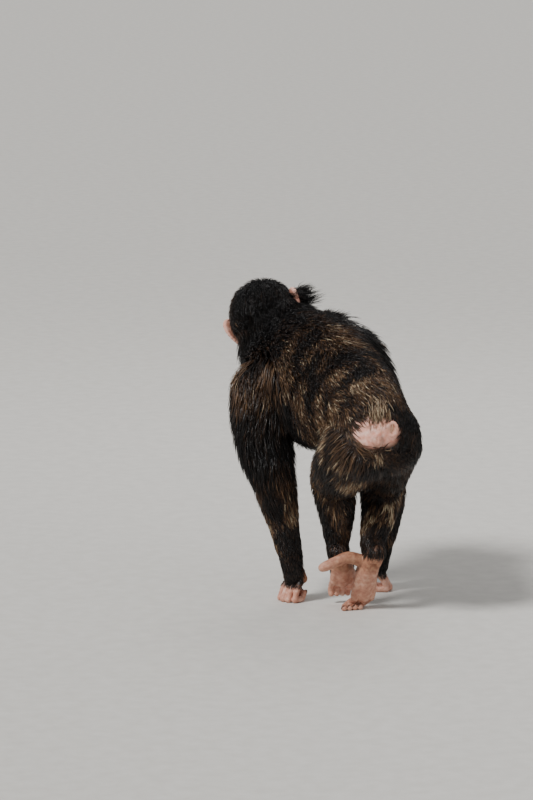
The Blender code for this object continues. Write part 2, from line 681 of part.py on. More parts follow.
def coat(body, group):
    """Sets locks evenly over the coated skin, each with its own small change of size and direction."""
    draw = random.Random(SEED)
    bm = bmesh.new()
    bm.from_mesh(body.data)
    tree = BVHTree.FromBMesh(bm)
    roots = [face.calc_center_median() for face in bm.faces]
    bm.free()
    draw.shuffle(roots)
    to_head = head_frame().inverted()
    kept = []
    for root in roots:
        name, run = region_of(root, to_head)
        if name is None or (root - at(RUMP_PATCH[0])).length < RUMP_PATCH[1]:
            continue
        if room_below(name, root) < SHORTEST_LOCK:
            continue
        _, spacing, length, width, lift = LOCKS[name]
        if any((root - other).length < spacing for other in kept):
            continue
        kept.append(root)
        run = (run + Vector([draw.uniform(-0.15, 0.15) for _ in range(3)])).normalized()
        length = min(length * draw.uniform(0.88, 1.12), room_below(name, root))
        lock(group, tree, name, to_head, root, run, length, width * draw.uniform(0.9, 1.1),
             lift * draw.uniform(0.85, 1.15))


def finished(shaped):
    """Gives every part its own finish and shades it smooth."""
    for thing in shaped:
        colour, roughness = BLACK_COAT, 0.75
        for start, (bare_colour, bare_roughness) in BARE.items():
            if thing.name.startswith(start):
                colour, roughness = bare_colour, bare_roughness
        thing.data.materials.clear()
        thing.data.materials.append(finish(thing.name, colour, roughness))
        for face in thing.data.polygons:
            face.use_smooth = True
            face.material_index = 0


def main():
    clear_scene()
    shown = collection("young_chimpanzee")
    work = collection("work")
    bm = bmesh.new()
    for middle, half, roll in TRUNK.values():
        turn = Matrix.Rotation(math.radians(roll), 3, "Y")
        forward, left, up = half
        grown = (left + COAT_BED, forward + COAT_BED, up + COAT_BED)
        rounded(bm, at(middle), grown, turn, rings=16)
    for stations in (NECK, SPINE, ARM_LEFT, ARM_RIGHT, LEG_LEFT, LEG_RIGHT):
        limb(bm, [(at(place), radius) for place, radius in stations], COAT_BED)
    body = solid("whole", bm, work)
    grown_together(body, BODY_GRAIN, 14, BODY_FACES)
    pieces = collection("pieces")
    hand(1, ARM_LEFT[-1][0], KNUCKLES_LEFT, pieces)
    hand(-1, ARM_RIGHT[-1][0], KNUCKLES_RIGHT, pieces)
    foot(FOOT_LEFT, GREAT_TOE_LEFT, TOES_LEFT, (-0.15, -1, 0), LEG_LEFT[-1][0], pieces)
    foot(FOOT_RIGHT, GREAT_TOE_RIGHT, TOES_RIGHT, (0.05, 1, 0), LEG_RIGHT[-1][0], pieces)
    head(pieces)
    joined(body, pieces)
    locks = collection("locks")
    coat(body, locks)
    joined(body, locks)
    ears = [ear(side, shown) for side in (1, -1)]
    rooms = collection("rooms")
    for made in ears:
        room_for(made, rooms)
    floor = bmesh.new()
    bmesh.ops.create_cube(floor, size=1, matrix=Matrix.Translation((0, 0, -0.5)))
    solid("floor", floor, rooms)
    joined(body, rooms, "DIFFERENCE")
    shaped = list(ears)
    limbs = parted(body, work, places_in("whole"))
    limbs.update(parted(limbs.pop("legs"), work, places_in("legs")))
    for name, thing in limbs.items():
        shaped.extend(parted(thing, shown, places_in(name)).values())
    shaped.extend(eye(side, shown) for side in (1, -1))
    bpy.data.collections.remove(work)
    finished(shaped)


main()
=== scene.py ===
import math

import bpy
import numpy as np
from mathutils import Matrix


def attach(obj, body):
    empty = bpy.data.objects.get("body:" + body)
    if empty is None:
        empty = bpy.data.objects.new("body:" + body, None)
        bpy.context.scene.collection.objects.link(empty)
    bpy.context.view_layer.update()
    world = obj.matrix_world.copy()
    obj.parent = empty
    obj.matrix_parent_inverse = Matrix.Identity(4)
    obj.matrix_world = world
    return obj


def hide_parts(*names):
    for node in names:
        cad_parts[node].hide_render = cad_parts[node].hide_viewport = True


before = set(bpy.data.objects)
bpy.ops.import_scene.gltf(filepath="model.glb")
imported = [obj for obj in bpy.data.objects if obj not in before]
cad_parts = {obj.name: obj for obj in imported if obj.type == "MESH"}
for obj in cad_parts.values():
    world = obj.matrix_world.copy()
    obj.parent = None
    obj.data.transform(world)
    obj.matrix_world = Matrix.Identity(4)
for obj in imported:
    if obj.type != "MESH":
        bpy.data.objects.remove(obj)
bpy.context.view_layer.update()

import openvdb
from mathutils import Matrix, Vector

# --- The place it is shown ------------------------------------------------------------------------
# A pale seamless studio floor, softly lit from behind the camera's left shoulder, where the sun is in
# the photograph. The camera stands behind the animal, a little to its left, and looks down on it.

BEHIND_TURN = math.radians(23.0)
LOOK_DOWN = math.radians(9.5)
TAIL_ROOT = Vector((0.0095, 0.2422, 0.425))
DISTANCE = 7.85
LENS = 180.0
AHEAD = Vector((-math.cos(LOOK_DOWN) * math.sin(BEHIND_TURN),
                -math.cos(LOOK_DOWN) * math.cos(BEHIND_TURN), -math.sin(LOOK_DOWN)))
RIGHTWARD = Vector((-math.cos(BEHIND_TURN), math.sin(BEHIND_TURN), 0.0))
UPWARD = RIGHTWARD.cross(AHEAD)
FRAMED = TAIL_ROOT - 0.227 * RIGHTWARD + 0.024 * UPWARD


def linear(hex_colour):
    """An sRGB hex colour as linear red, green, blue and alpha."""
    channels = [int(hex_colour[k:k + 2], 16) / 255 for k in (1, 3, 5)]
    return (*[c / 12.92 if c <= 0.04045 else ((c + 0.055) / 1.055) ** 2.4 for c in channels], 1.0)


def add_node(tree, kind, settings=None, sockets=None, links=None):
    """Adds one node: its settings, the values of its sockets, and the outputs linked to its sockets."""
    node = tree.nodes.new(kind)
    for name, value in (settings or {}).items():
        setattr(node, name, value)
    for name, value in (sockets or {}).items():
        node.inputs[name].default_value = value
    for name, output in (links or {}).items():
        tree.links.new(output, node.inputs[name])
    return node


def new_material(name):
    """An empty node material and its Principled shader."""
    material = bpy.data.materials.new(name)
    material.use_nodes = True
    return material, material.node_tree, material.node_tree.nodes["Principled BSDF"]


def ramp(tree, factor, stops):
    """A colour ramp of (place, hex colour) stops."""
    node = add_node(tree, "ShaderNodeValToRGB", links={"Fac": factor})
    line = node.color_ramp
    while len(line.elements) < len(stops):
        line.elements.new(0.5)
    for element, (place, colour) in zip(line.elements, stops):
        element.position = place
        element.color = linear(colour)
    return node.outputs["Color"]


def blend(tree, first, second, factor=None, kind="MIX"):
    """Two colours mixed by a factor, or multiplied in full where none is given."""
    node = add_node(tree, "ShaderNodeMix", {"data_type": "RGBA", "blend_type": kind}, {"Factor": 1.0})
    for name, output in (("Factor", factor), ("A", first), ("B", second)):
        if output is not None:
            tree.links.new(output, node.inputs[name])
    return node.outputs["Result"]


def place_mesh(name, points, faces, material):
    """Puts an array of points and an array of equal-sided faces into a new smooth-shaded object."""
    mesh = bpy.data.meshes.new(name)
    count, sides = faces.shape
    mesh.vertices.add(len(points))
    mesh.vertices.foreach_set("co", np.ascontiguousarray(points, np.float32).ravel())
    mesh.loops.add(count * sides)
    mesh.loops.foreach_set("vertex_index", np.ascontiguousarray(faces, np.int32).ravel())
    mesh.polygons.add(count)
    mesh.polygons.foreach_set("loop_start", np.arange(0, count * sides, sides, dtype=np.int32))
    mesh.polygons.foreach_set("use_smooth", np.ones(count, bool))
    mesh.update(calc_edges=True)
    mesh.validate()
    mesh.materials.append(material)
    thing = bpy.data.objects.new(name, mesh)
    bpy.context.scene.collection.objects.link(thing)
    return thing


def mark(thing, name, values):
    """Keeps one number for each corner point of a piece, for its material to read."""
    layer = thing.data.attributes.new(name, "FLOAT", "POINT")
    layer.data.foreach_set("value", np.ascontiguousarray(values, np.float32))


camera_data = bpy.data.cameras.new("camera")
camera_data.lens = LENS
camera = bpy.data.objects.new("camera", camera_data)
camera.location = FRAMED - AHEAD * DISTANCE
camera.rotation_euler = AHEAD.to_track_quat("-Z", "Y").to_euler()
bpy.context.scene.collection.objects.link(camera)
bpy.context.scene.camera = camera

# Painted studio board: an even matt coat of paint, faintly mottled by the roller.
board, board_tree, board_shader = new_material("painted_board")
board_shader.inputs["Roughness"].default_value = 0.85
board_grain = add_node(board_tree, "ShaderNodeTexNoise", sockets={"Scale": 30.0, "Detail": 3.0})
board_place = add_node(board_tree, "ShaderNodeTexCoord")
board_tree.links.new(board_place.outputs["Object"], board_grain.inputs["Vector"])
board_tree.links.new(ramp(board_tree, board_grain.outputs["Fac"], ((0.3, "#c9c6c0"), (0.7, "#d2cfc9"))),
                     board_shader.inputs["Base Color"])

FLOOR_HALF = 60.0
floor = place_mesh("studio_floor", np.array([(-1, -1, 0), (1, -1, 0), (1, 1, 0), (-1, 1, 0)]) * FLOOR_HALF,
                   np.array([(0, 1, 2, 3)]), board)

# Each lamp: how far right of, up from and towards the camera it hangs, its size, and its power. The key
# is far off and broad, as light through a large diffuser; the others are soft boxes close by.
LAMPS = {"key": ("SUN", -1.9, 2.6, 1.5, math.radians(14), 3.4), "fill": ("AREA", 2.4, 1.0, 1.6, 2.2, 16.0),
         "rim": ("AREA", 0.4, 2.4, -2.2, 1.6, 26.0)}
for lamp_name, (kind, aside, above, nearer, size, power) in LAMPS.items():
    lamp_data = bpy.data.lights.new(lamp_name, kind)
    setattr(lamp_data, "angle" if kind == "SUN" else "size", size)
    lamp_data.energy = power
    lamp = bpy.data.objects.new(lamp_name, lamp_data)
    target = Vector((0.0, 0.0, 0.32))
    flat_ahead = Vector((AHEAD.x, AHEAD.y, 0)).normalized()
    lamp.location = target + RIGHTWARD * aside + Vector((0, 0, above)) - flat_ahead * nearer
    lamp.rotation_euler = (target - lamp.location).to_track_quat("-Z", "Y").to_euler()
    bpy.context.scene.collection.objects.link(lamp)
world = bpy.data.worlds.new("studio_air")
bpy.context.scene.world = world
world.use_nodes = True
world.node_tree.nodes["Background"].inputs["Color"].default_value = linear("#e9e9ea")
world.node_tree.nodes["Background"].inputs["Strength"].default_value = 0.42

# --- The body under the coat ----------------------------------------------------------------------
# The animal's own skin over muscle and bone, one unbroken surface from neck to wrists and ankles. It is
# shaped as one distance field from the sizes of the solids, less the bed of coat that they carry.

MIDDLE = (0.2422, -0.0095)
TRUNK = (
    ((0.060, 0.000, 0.375), (0.085, 0.074, 0.074), 0), ((0.015, 0.038, 0.362), (0.050, 0.046, 0.054), 0),
    ((0.015, -0.038, 0.362), (0.050, 0.046, 0.054), 0), ((0.165, 0.000, 0.412), (0.115, 0.084, 0.087), -4),
    ((0.285, 0.010, 0.432), (0.130, 0.088, 0.100), -8), ((0.365, 0.015, 0.425), (0.070, 0.092, 0.088), -10),
    ((0.335, 0.070, 0.462), (0.075, 0.045, 0.042), -14), ((0.335, -0.054, 0.500), (0.078, 0.050, 0.046), -14),
)
LIMBS = {
    "neck": (((0.458, 0.040, 0.540), 0.052), ((0.410, 0.026, 0.506), 0.056), ((0.360, 0.012, 0.470), 0.062)),
    "trunk": (((0.370, 0.014, 0.485), 0.062), ((0.280, 0.008, 0.468), 0.068), ((0.180, 0.000, 0.438), 0.066),
              ((0.090, 0.000, 0.420), 0.062), ((0.010, 0.000, 0.392), 0.045)),
    "arm_left": (((0.358, 0.098, 0.418), 0.057), ((0.326, 0.114, 0.330), 0.042), ((0.280, 0.108, 0.237), 0.031),
                 ((0.270, 0.098, 0.175), 0.027), ((0.262, 0.081, 0.088), 0.020)),
    "arm_right": (((0.358, -0.096, 0.458), 0.060), ((0.330, -0.128, 0.352), 0.045),
                  ((0.290, -0.136, 0.240), 0.033), ((0.290, -0.142, 0.175), 0.030),
                  ((0.287, -0.130, 0.088), 0.020)),
    "leg_left": (((0.050, 0.038, 0.345), 0.052), ((0.115, 0.037, 0.300), 0.043), ((0.184, 0.024, 0.258), 0.032),
                 ((0.174, 0.020, 0.208), 0.029), ((0.168, 0.020, 0.122), 0.018)),
    "leg_right": (((0.050, -0.038, 0.345), 0.052), ((0.120, -0.060, 0.293), 0.043),
                  ((0.188, -0.086, 0.238), 0.032), ((0.150, -0.064, 0.198), 0.029),
                  ((0.106, -0.026, 0.140), 0.019)),
}
KNOWN_REACH = 0.045
BODY_GRAIN = 0.0032


def at(places):
    """Points of the frame for places given forward, left and up: (left - m, m' - forward, up)."""
    places = np.asarray(places, float)
    return np.stack([places[..., 1] - MIDDLE[1], MIDDLE[0] - places[..., 0], places[..., 2]], -1)


def unit(vectors):
    """Each vector over its own length."""
    return vectors / (np.linalg.norm(vectors, axis=-1, keepdims=True) + 1e-12)


def dot(first, second):
    """The sum of products along the last axis, kept as a column."""
    return np.sum(first * second, axis=-1, keepdims=True)


def melted(first, second, reach):
    """The lesser of two distances, less reach/4 * (1 - |difference| / reach)^2 where they are close."""
    near = np.clip(1 - np.abs(first - second) / reach, 0, None)
    return np.minimum(first, second) - near * near * reach * 0.25


def to_egg(points, middle, half, turn):
    """Distance to an ellipsoid: k (k - 1) / g, where k is the length of p over the half sizes and g that
    of p over their squares."""
    own = (points - middle) @ turn
    scaled = own / half
    k = np.sqrt((scaled * scaled).sum(-1))
    g = np.sqrt(((scaled / half) ** 2).sum(-1))
    return k * (k - 1) / (g + 1e-9)


def to_bone(points, start, end, start_radius, end_radius):
    """Distance to a tapering round bar: from p to the nearest place on the line, less the radius there."""
    run = end - start
    share = np.clip(((points - start) @ run) / (run @ run), 0, 1)
    gap = points - start - share[..., None] * run
    return np.sqrt((gap * gap).sum(-1)) - (start_radius + (end_radius - start_radius) * share)


def bent(stations, steps=3):
    """Stations joined by a smooth curve: each four in turn weighed by the Catmull-Rom cubic."""
    table = np.array([(*place, radius) for place, radius in stations], float)
    padded = np.vstack([2 * table[0] - table[1], table, 2 * table[-1] - table[-2]])
    t = np.linspace(0, 1, steps, endpoint=False)[None, :, None]
    a, b, c, d = (padded[k:len(padded) - 3 + k, None, :] for k in range(4))
    curve = 0.5 * (2 * b + (c - a) * t + (2 * a - 5 * b + 4 * c - d) * t ** 2 + (3 * b - a - 3 * c + d) * t ** 3)
    curve = np.vstack([curve.reshape(-1, 4), table[-1:]])
    return curve[:, :3], curve[:, 3]


class Clay:
    """A block of space on an even grid, where each place keeps its distance to the surface made so far."""

    def __init__(self, low, high, grain):
        self.low = np.array(low, float)
        self.grain = grain
        self.count = np.ceil((np.array(high, float) - self.low) / grain).astype(int) + 1
        self.depth = np.full(self.count, KNOWN_REACH * 1.2, np.float32)

    def shape(self, low, high, distance, reach, cut=False):
        """Melts a form into the clay, or cuts it out, inside the box that it can change."""
        first = np.clip(np.floor((low - KNOWN_REACH - self.low) / self.grain).astype(int), 0, self.count)
        last = np.clip(np.ceil((high + KNOWN_REACH - self.low) / self.grain).astype(int) + 1, 0, self.count)
        axes = [self.low[k] + self.grain * np.arange(first[k], last[k]) for k in range(3)]
        points = np.stack(np.meshgrid(*axes, indexing="ij"), -1).astype(np.float32)
        spans = tuple(slice(a, b) for a, b in zip(first, last))
        old = self.depth[spans]
        new = distance(points)
        self.depth[spans] = -melted(-old, new, reach) if cut else melted(old, new, reach)

    def egg(self, middle, half, reach, turn=None, cut=False):
        turn = np.eye(3) if turn is None else turn
        middle, half = np.asarray(middle, float), np.asarray(half, float)
        self.shape(middle - half.max(), middle + half.max(), lambda p: to_egg(p, middle, half, turn), reach, cut)

    def chain(self, places, radii, reach, cut=False):
        """A bar through each pair of places in turn."""
        for a, b, ra, rb in zip(places, places[1:], radii, radii[1:]):
            most = max(ra, rb)
            self.shape(np.minimum(a, b) - most, np.maximum(a, b) + most,
                       lambda p, a=a, b=b, ra=ra, rb=rb: to_bone(p, a, b, ra, rb), reach, cut)

    def surface(self):
        """The points and four-sided faces where the distance is nought."""
        grid = openvdb.FloatGrid(KNOWN_REACH)
        grid.copyFromArray(self.depth)
        points, quads = grid.convertToQuads(0.0)
        return self.low + points.astype(float) * self.grain, quads.astype(np.int32)

    def ready(self):
        """Works out which way the distance grows, for sampling."""
        self.away = np.stack(np.gradient(self.depth, self.grain), -1).astype(np.float32)

    def sample(self, points):
        """Distance and outward way at any points: the eight grid places around, weighed by closeness."""
        spot = np.clip((points - self.low) / self.grain, 0, self.count - 1.001)
        base = spot.astype(int)
        part = spot - base
        depth, away = 0, 0
        for corner in np.ndindex(2, 2, 2):
            weight = np.prod(np.where(corner, part, 1 - part), axis=-1)
            i, j, k = (base + corner).T
            depth = depth + weight * self.depth[i, j, k]
            away = away + weight[:, None] * self.away[i, j, k]
        return depth, unit(away)


def turned(degrees, axis):
    """A turn about one axis, as an array."""
    return np.array(Matrix.Rotation(math.radians(degrees), 3, axis))


body_clay = Clay((-0.215, -0.300, 0.040), (0.225, 0.330, 0.620), BODY_GRAIN)
for middle, (forward, left, up), roll in TRUNK:
    body_clay.egg(at(middle), (left, forward, up), 0.030, turned(roll, "X") if roll else None)
for limb_name, stations in LIMBS.items():
    curve, radii = bent(stations)
    body_clay.chain(at(curve), radii, 0.012 if "_" in limb_name else 0.024)
body_clay.ready()
body_points, body_quads = body_clay.surface()

# --- The bare skin --------------------------------------------------------------------------------
# Living skin, grown in one with the flesh: tan to pale pink where it is bare, on face, ears, palms, soles
# and rump, and dark brown under the coat. Each piece keeps two marks: how bare it is, and how flushed. The
# first is also lowered to paint shade in the rump's creases and along the mouth.

SKIN_CREASE_MM = 1.6
SKIN_BLOTCH_MM = 9.0

# Bare skin has a soft broad shine, painted shade as fine dark lines in its creases, and blotches of blood
# under it.
skin_material, skin_tree, skin_shader = new_material("creased_bare_skin")
skin_place = add_node(skin_tree, "ShaderNodeTexCoord").outputs["Object"]
bare_and_shade_mark = add_node(skin_tree, "ShaderNodeAttribute", {"attribute_name": "bare"}).outputs["Fac"]
flush_mark = add_node(skin_tree, "ShaderNodeAttribute", {"attribute_name": "flush"}).outputs["Fac"]
blotches = add_node(skin_tree, "ShaderNodeTexNoise", sockets={"Scale": 1000 / SKIN_BLOTCH_MM, "Detail": 4.0},
                    links={"Vector": skin_place}).outputs["Fac"]
creases = add_node(skin_tree, "ShaderNodeTexVoronoi", {"feature": "DISTANCE_TO_EDGE"},
                   {"Scale": 1000 / SKIN_CREASE_MM}, {"Vector": skin_place}).outputs["Distance"]
pores = add_node(skin_tree, "ShaderNodeTexNoise", sockets={"Scale": 1400.0, "Detail": 2.0},
                 links={"Vector": skin_place}).outputs["Fac"]
tan = ramp(skin_tree, blotches, ((0.30, "#7d4f39"), (0.50, "#9d6a4c"), (0.72, "#b98663")))
pink = ramp(skin_tree, blotches, ((0.30, "#dc9681"), (0.52, "#ebb19d"), (0.72, "#f5cfc1")))
covered = ramp(skin_tree, blotches, ((0.30, "#1c1411"), (0.70, "#33241c")))
full_tone = blend(skin_tree, covered, blend(skin_tree, tan, pink, flush_mark), bare_and_shade_mark)
# Painted shade: the colour is darkened along the creases.
crease_shade = add_node(skin_tree, "ShaderNodeMapRange", sockets={"From Max": 0.06, "To Min": 0.72, "To Max": 1.0},
                     links={"Value": creases}).outputs["Result"]
skin_tree.links.new(blend(skin_tree, full_tone, crease_shade, kind="MULTIPLY"), skin_shader.inputs["Base Color"])
relief = add_node(skin_tree, "ShaderNodeMath", {"operation": "MULTIPLY_ADD"}, {1: 0.35}, {0: pores, 2: creases})
skin_bump = add_node(skin_tree, "ShaderNodeBump", sockets={"Strength": 0.45, "Distance": 0.0006},
                     links={"Height": relief.outputs["Value"]})
skin_tree.links.new(skin_bump.outputs["Normal"], skin_shader.inputs["Normal"])
skin_shader.inputs["Roughness"].default_value = 0.52
skin_shader.inputs["IOR"].default_value = 1.42

RUMP_PATCH = at((-0.033, 0.026, 0.400))
RUMP_HALF = np.array((0.060, 0.060, 0.043))


def eased(values):
    """Nought below nought, one above one, and 3t^2 - 2t^3 between."""
    t = np.clip(values, 0, 1)
    return t * t * (3 - 2 * t)


def rump_share(points):
    """How far inside the bare patch round the tail's root a point lies: 1 at its middle, 0 outside it."""
    return eased((1.15 - np.linalg.norm((points - RUMP_PATCH) / RUMP_HALF, axis=-1)) / 0.45)


def skin_piece(name, points, quads, bare, flush, nodes):
    """A piece of skin with its two marks, which stands for some of the solids."""
    thing = place_mesh(name, points, quads, skin_material)
    mark(thing, "bare", bare)
    mark(thing, "flush", flush)
    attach(thing, "root")
    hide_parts(*nodes)
    return thing


def onto_skin(right, up):
    """The place on the skin seen that far right of and above the tail's root: a sight line followed inward."""
    place = np.array(TAIL_ROOT + RIGHTWARD * right + UPWARD * up - AHEAD * 0.12)
    for _ in range(40):
        depth, _ = body_clay.sample(place[None])
        place = place + np.array(AHEAD) * depth[0]
    return place


skin_piece("skin_body", body_points, body_quads, rump_share(body_points), rump_share(body_points),
           ("neck", "chest", "belly", "pelvis", "upper_arm_left", "upper_arm_right", "forearm_left",
            "forearm_right", "thigh_left", "thigh_right", "shank_left", "shank_right"))

# The bare patch is shaped again on a finer grid, just proud of the rest: a star of creases under the tail,
# a soft swelling below it with a furrow down its middle, and a round fold to its right.
RUMP_GRAIN = 0.0012
RUMP_PROUD = 0.0008
RUMP_ROOM = RUMP_HALF * 1.25
STAR_REACH = 0.0100
BULB_HALF = (0.0115, 0.0115, 0.0140)
BULB_EDGE = 0.0120
BULB_FRONT = 0.0105
FOLD_TURN = 0.0085
FOLD_THICK = 0.0036
FOLD_TALLER = 1.5
rump_clay = Clay(RUMP_PATCH - RUMP_ROOM, RUMP_PATCH + RUMP_ROOM, RUMP_GRAIN)
grid_places = np.stack(np.meshgrid(*[rump_clay.low[k] + rump_clay.grain * np.arange(rump_clay.count[k])
                                     for k in range(3)], indexing="ij"), -1).reshape(-1, 3)
rump_clay.depth = (body_clay.sample(grid_places)[0] - RUMP_PROUD).reshape(rump_clay.count).astype(np.float32)
side_on, up_on = np.array(RIGHTWARD), np.array(UPWARD)
star, bulb, fold = onto_skin(-0.019, -0.030), onto_skin(-0.010, -0.056), onto_skin(0.019, -0.033)
rump_clay.egg(bulb + np.array(AHEAD) * 0.001, BULB_HALF, 0.003)
for spin in range(0, 360, 45):
    spoke_end = side_on * math.cos(math.radians(spin)) + up_on * math.sin(math.radians(spin))
    rump_clay.chain(np.array((star, star + spoke_end * STAR_REACH)), (0.0032, 0.0010), 0.0015, cut=True)
bulb_front = bulb - np.array(AHEAD) * BULB_FRONT
furrow = np.array((bulb_front + up_on * 0.009, bulb_front - up_on * 0.010))
rump_clay.chain(furrow, (0.0022, 0.0018), 0.0015, cut=True)
fold_turns = np.radians(np.arange(0, 361, 30))[:, None]
fold_ring = fold + (side_on * np.cos(fold_turns) + up_on * np.sin(fold_turns) * FOLD_TALLER) * FOLD_TURN
rump_clay.chain(fold_ring, np.full(len(fold_ring), FOLD_THICK), 0.002)
rump_points, rump_quads = rump_clay.surface()
rump_quads = rump_quads[rump_share(rump_points)[rump_quads].min(1) > 0]
used, rump_quads = np.unique(rump_quads, return_inverse=True)
rump_points, rump_quads = rump_points[used], rump_quads.reshape(-1, 4)
fold_near = np.exp(-(np.linalg.norm(rump_points - fold, axis=-1) / 0.010) ** 2)
star_shade = np.exp(-(np.linalg.norm(rump_points - star, axis=-1) / 0.006) ** 2)
# Painted shade: the bare mark is lowered, towards the dark brown under the coat, where the skin sinks into its
# creases, round the star and along the swelling's rim.
sunk_shade = np.clip((body_clay.sample(rump_points)[0] - 0.0004) / -0.0014, 0, 1)
bulb_gap = np.linalg.norm(rump_points - bulb, axis=-1)
bulb_rim_shade = np.exp(-((bulb_gap - BULB_EDGE) / 0.0020) ** 2)
rump_bare_and_shade = rump_share(rump_points) * (1 - 0.45 * sunk_shade) * (1 - 0.35 * star_shade) * (1 - 0.28 * bulb_rim_shade)
skin_piece("skin_rump", rump_points, rump_quads, rump_bare_and_shade,
           rump_share(rump_points) * (1 - 0.85 * fold_near) * (1 - 0.30 * (bulb_gap < BULB_EDGE)), ("pelvis",))

# --- The head -------------------------------------------------------------------------------------
# Skull, brow ridge, cheeks, muzzle, lips and lids of a young chimpanzee, turned to its right and tilted.
# It is shaped in its own frame (forward, left, up from the middle of the skull) and then set on the neck.

SKULL = (0.480, 0.043, 0.556)
HEAD_TURNS = (-38, 12, -28)
HEAD_MASSES = (
    ((-0.006, 0.000, 0.006), (0.067, 0.054, 0.055), 0.004),
    ((0.034, 0.000, -0.020), (0.036, 0.043, 0.038), 0.016),
    ((0.040, 0.025, -0.024), (0.020, 0.016, 0.020), 0.012),
    ((0.040, -0.025, -0.024), (0.020, 0.016, 0.020), 0.012),
    ((0.065, 0.000, -0.041), (0.034, 0.031, 0.022), 0.014),
    ((0.082, 0.000, -0.041), (0.018, 0.028, 0.012), 0.006),
    ((0.048, 0.000, -0.058), (0.040, 0.031, 0.017), 0.010),
    ((0.077, 0.000, -0.059), (0.017, 0.024, 0.009), 0.005),
    ((0.075, 0.000, -0.020), (0.015, 0.014, 0.008), 0.006),
)
BROW = (((0.044, 0.036, 0.008), 0.009), ((0.056, 0.018, 0.014), 0.010), ((0.058, 0.000, 0.012), 0.009),
        ((0.056, -0.018, 0.014), 0.010), ((0.044, -0.036, 0.008), 0.009))
EYE_PLACE = np.array((0.0555, 0.0195, -0.003))
EYE_RADIUS = 0.0098
LID_RADIUS = 0.0022
MOUTH_LINE = (((0.052, 0.040, -0.047), 0.0012), ((0.076, 0.033, -0.053), 0.0019),
              ((0.098, 0.016, -0.0520), 0.0021), ((0.104, 0.000, -0.0515), 0.0021),
              ((0.098, -0.016, -0.0520), 0.0021), ((0.076, -0.033, -0.053), 0.0019),
              ((0.052, -0.040, -0.047), 0.0012))
HEAD_GRAIN = 0.0014

turn, nod, tilt = HEAD_TURNS
HEAD_TURN = np.array(((0, 1, 0), (-1, 0, 0), (0, 0, 1)))
HEAD_TURN = HEAD_TURN @ turned(turn, "Z") @ turned(nod, "Y") @ turned(tilt, "X")


def from_head(points):
    """Points of the head's own frame, turned and set at the middle of the skull."""
    return points @ HEAD_TURN.T + at(SKULL)


def to_head(points):
    """Points of the frame in the head's own frame."""
    return (points - at(SKULL)) @ HEAD_TURN


head_clay = Clay((-0.120, -0.100, -0.125), (0.140, 0.100, 0.105), HEAD_GRAIN)
for middle, half, reach in HEAD_MASSES:
    head_clay.egg(middle, half, reach)
curve, radii = bent(BROW)
head_clay.chain(curve, radii, 0.007)
for side in (1, -1):
    eye_middle = EYE_PLACE * (1, side, 1)
    for rise in (1, -1):
        sweep = np.radians(np.arange(0, 181, 20))[:, None]
        lid = eye_middle + np.hstack([0.0066 + 0.0024 * np.sin(sweep), side * 0.0105 * np.cos(sweep),
                                      rise * (0.0084 if rise > 0 else 0.0074) * np.sin(sweep)])
        head_clay.chain(lid, np.full(len(lid), LID_RADIUS), 0.003)
    under = eye_middle + np.hstack([0.0035 + 0.003 * np.sin(sweep), side * 0.0150 * np.cos(sweep),
                                    -0.0125 * np.sin(sweep)])
    head_clay.chain(under, np.full(len(under), 0.0020), 0.004)
    head_clay.chain(under + (0.0022, 0, 0.0034), np.full(len(under), 0.0006), 0.002, cut=True)
    wing = np.array(((0.072, side * 0.004, -0.019), (0.083, side * 0.009, -0.021), (0.084, side * 0.011, -0.026)))
    head_clay.chain(wing, (0.004, 0.0045, 0.003), 0.005)
    head_clay.egg((0.088, side * 0.0050, -0.0215), (0.0045, 0.0032, 0.0022), 0.001, cut=True)
    head_clay.egg(eye_middle, (EYE_RADIUS + 0.0002,) * 3, 0.0008, cut=True)
# The line between the lips is drawn on the muzzle, and then let in to a little under its own depth.
head_clay.ready()
curve, radii = bent(MOUTH_LINE, 6)
for _ in range(4):
    depth, out = head_clay.sample(curve)
    curve = curve - out * (depth + 0.0004)[:, None]
head_clay.chain(curve, radii, 0.0012, cut=True)
neck_end = to_head(at((0.440, 0.035, 0.528)))
head_clay.chain(np.array((neck_end, (-0.020, 0, 0))), (0.046, 0.048), 0.015)
head_clay.ready()
head_local, head_quads = head_clay.surface()
_, head_out = head_clay.sample(head_local)


def face_edge(local):
    """Metres past the hairline, in front of it where positive: forward of a line that bends round the cheeks."""
    x, y, z = local.T
    return x - 0.030 + 0.25 * np.abs(y) + 0.10 * z - 1.25 * np.clip(z - 0.020, 0, None)


def face_folds(local):
    """Depth of the folds: brow furrows, rings round the eyes and fine upright lines on the lips, as sines."""
    x, y, z = local.T
    brow = np.exp(-((z - 0.026) / 0.009) ** 2) * np.sin(z * 1900 + 2 * np.cos(y * 90)) * 0.00030
    eye_gap = np.sqrt((np.abs(y) - 0.0195) ** 2 + (z + 0.003) ** 2)
    rings = np.exp(-((eye_gap - 0.019) / 0.006) ** 2) * np.sin(eye_gap * 2100) * 0.00032
    lips = np.exp(-((z + 0.050) / 0.010) ** 2) * np.sin(np.arctan2(y, x - 0.055) * 62) * 0.00020 * (x > 0.070)
    return (brow + rings + lips) * eased(face_edge(local) / 0.012)


head_local = head_local + head_out * face_folds(head_local)[:, None]
eye_near = np.exp(-((np.abs(head_local[:, 1]) - 0.0195) ** 2 + (head_local[:, 2] + 0.003) ** 2) / 0.0115 ** 2)
# Painted shade: the skin is darkened along the line between the lips.
mouth_line_shade = np.exp(-(np.linalg.norm(head_local[:, None] - curve, axis=-1).min(1) / 0.0026) ** 2)
head_bare_and_shade = eased(face_edge(head_local) / 0.010 + 0.4) * (1 - 0.40 * eye_near) * (1 - 0.55 * mouth_line_shade)
muzzle_pink = eased((head_local[:, 0] - 0.050) / 0.03) * 0.55
skin_piece("skin_head", from_head(head_local), head_quads, head_bare_and_shade, muzzle_pink, ("head",))

# --- The ears -------------------------------------------------------------------------------------
# Large round thin ears of bare skin over cartilage: a rolled rim, an inner ridge and a deep cup.

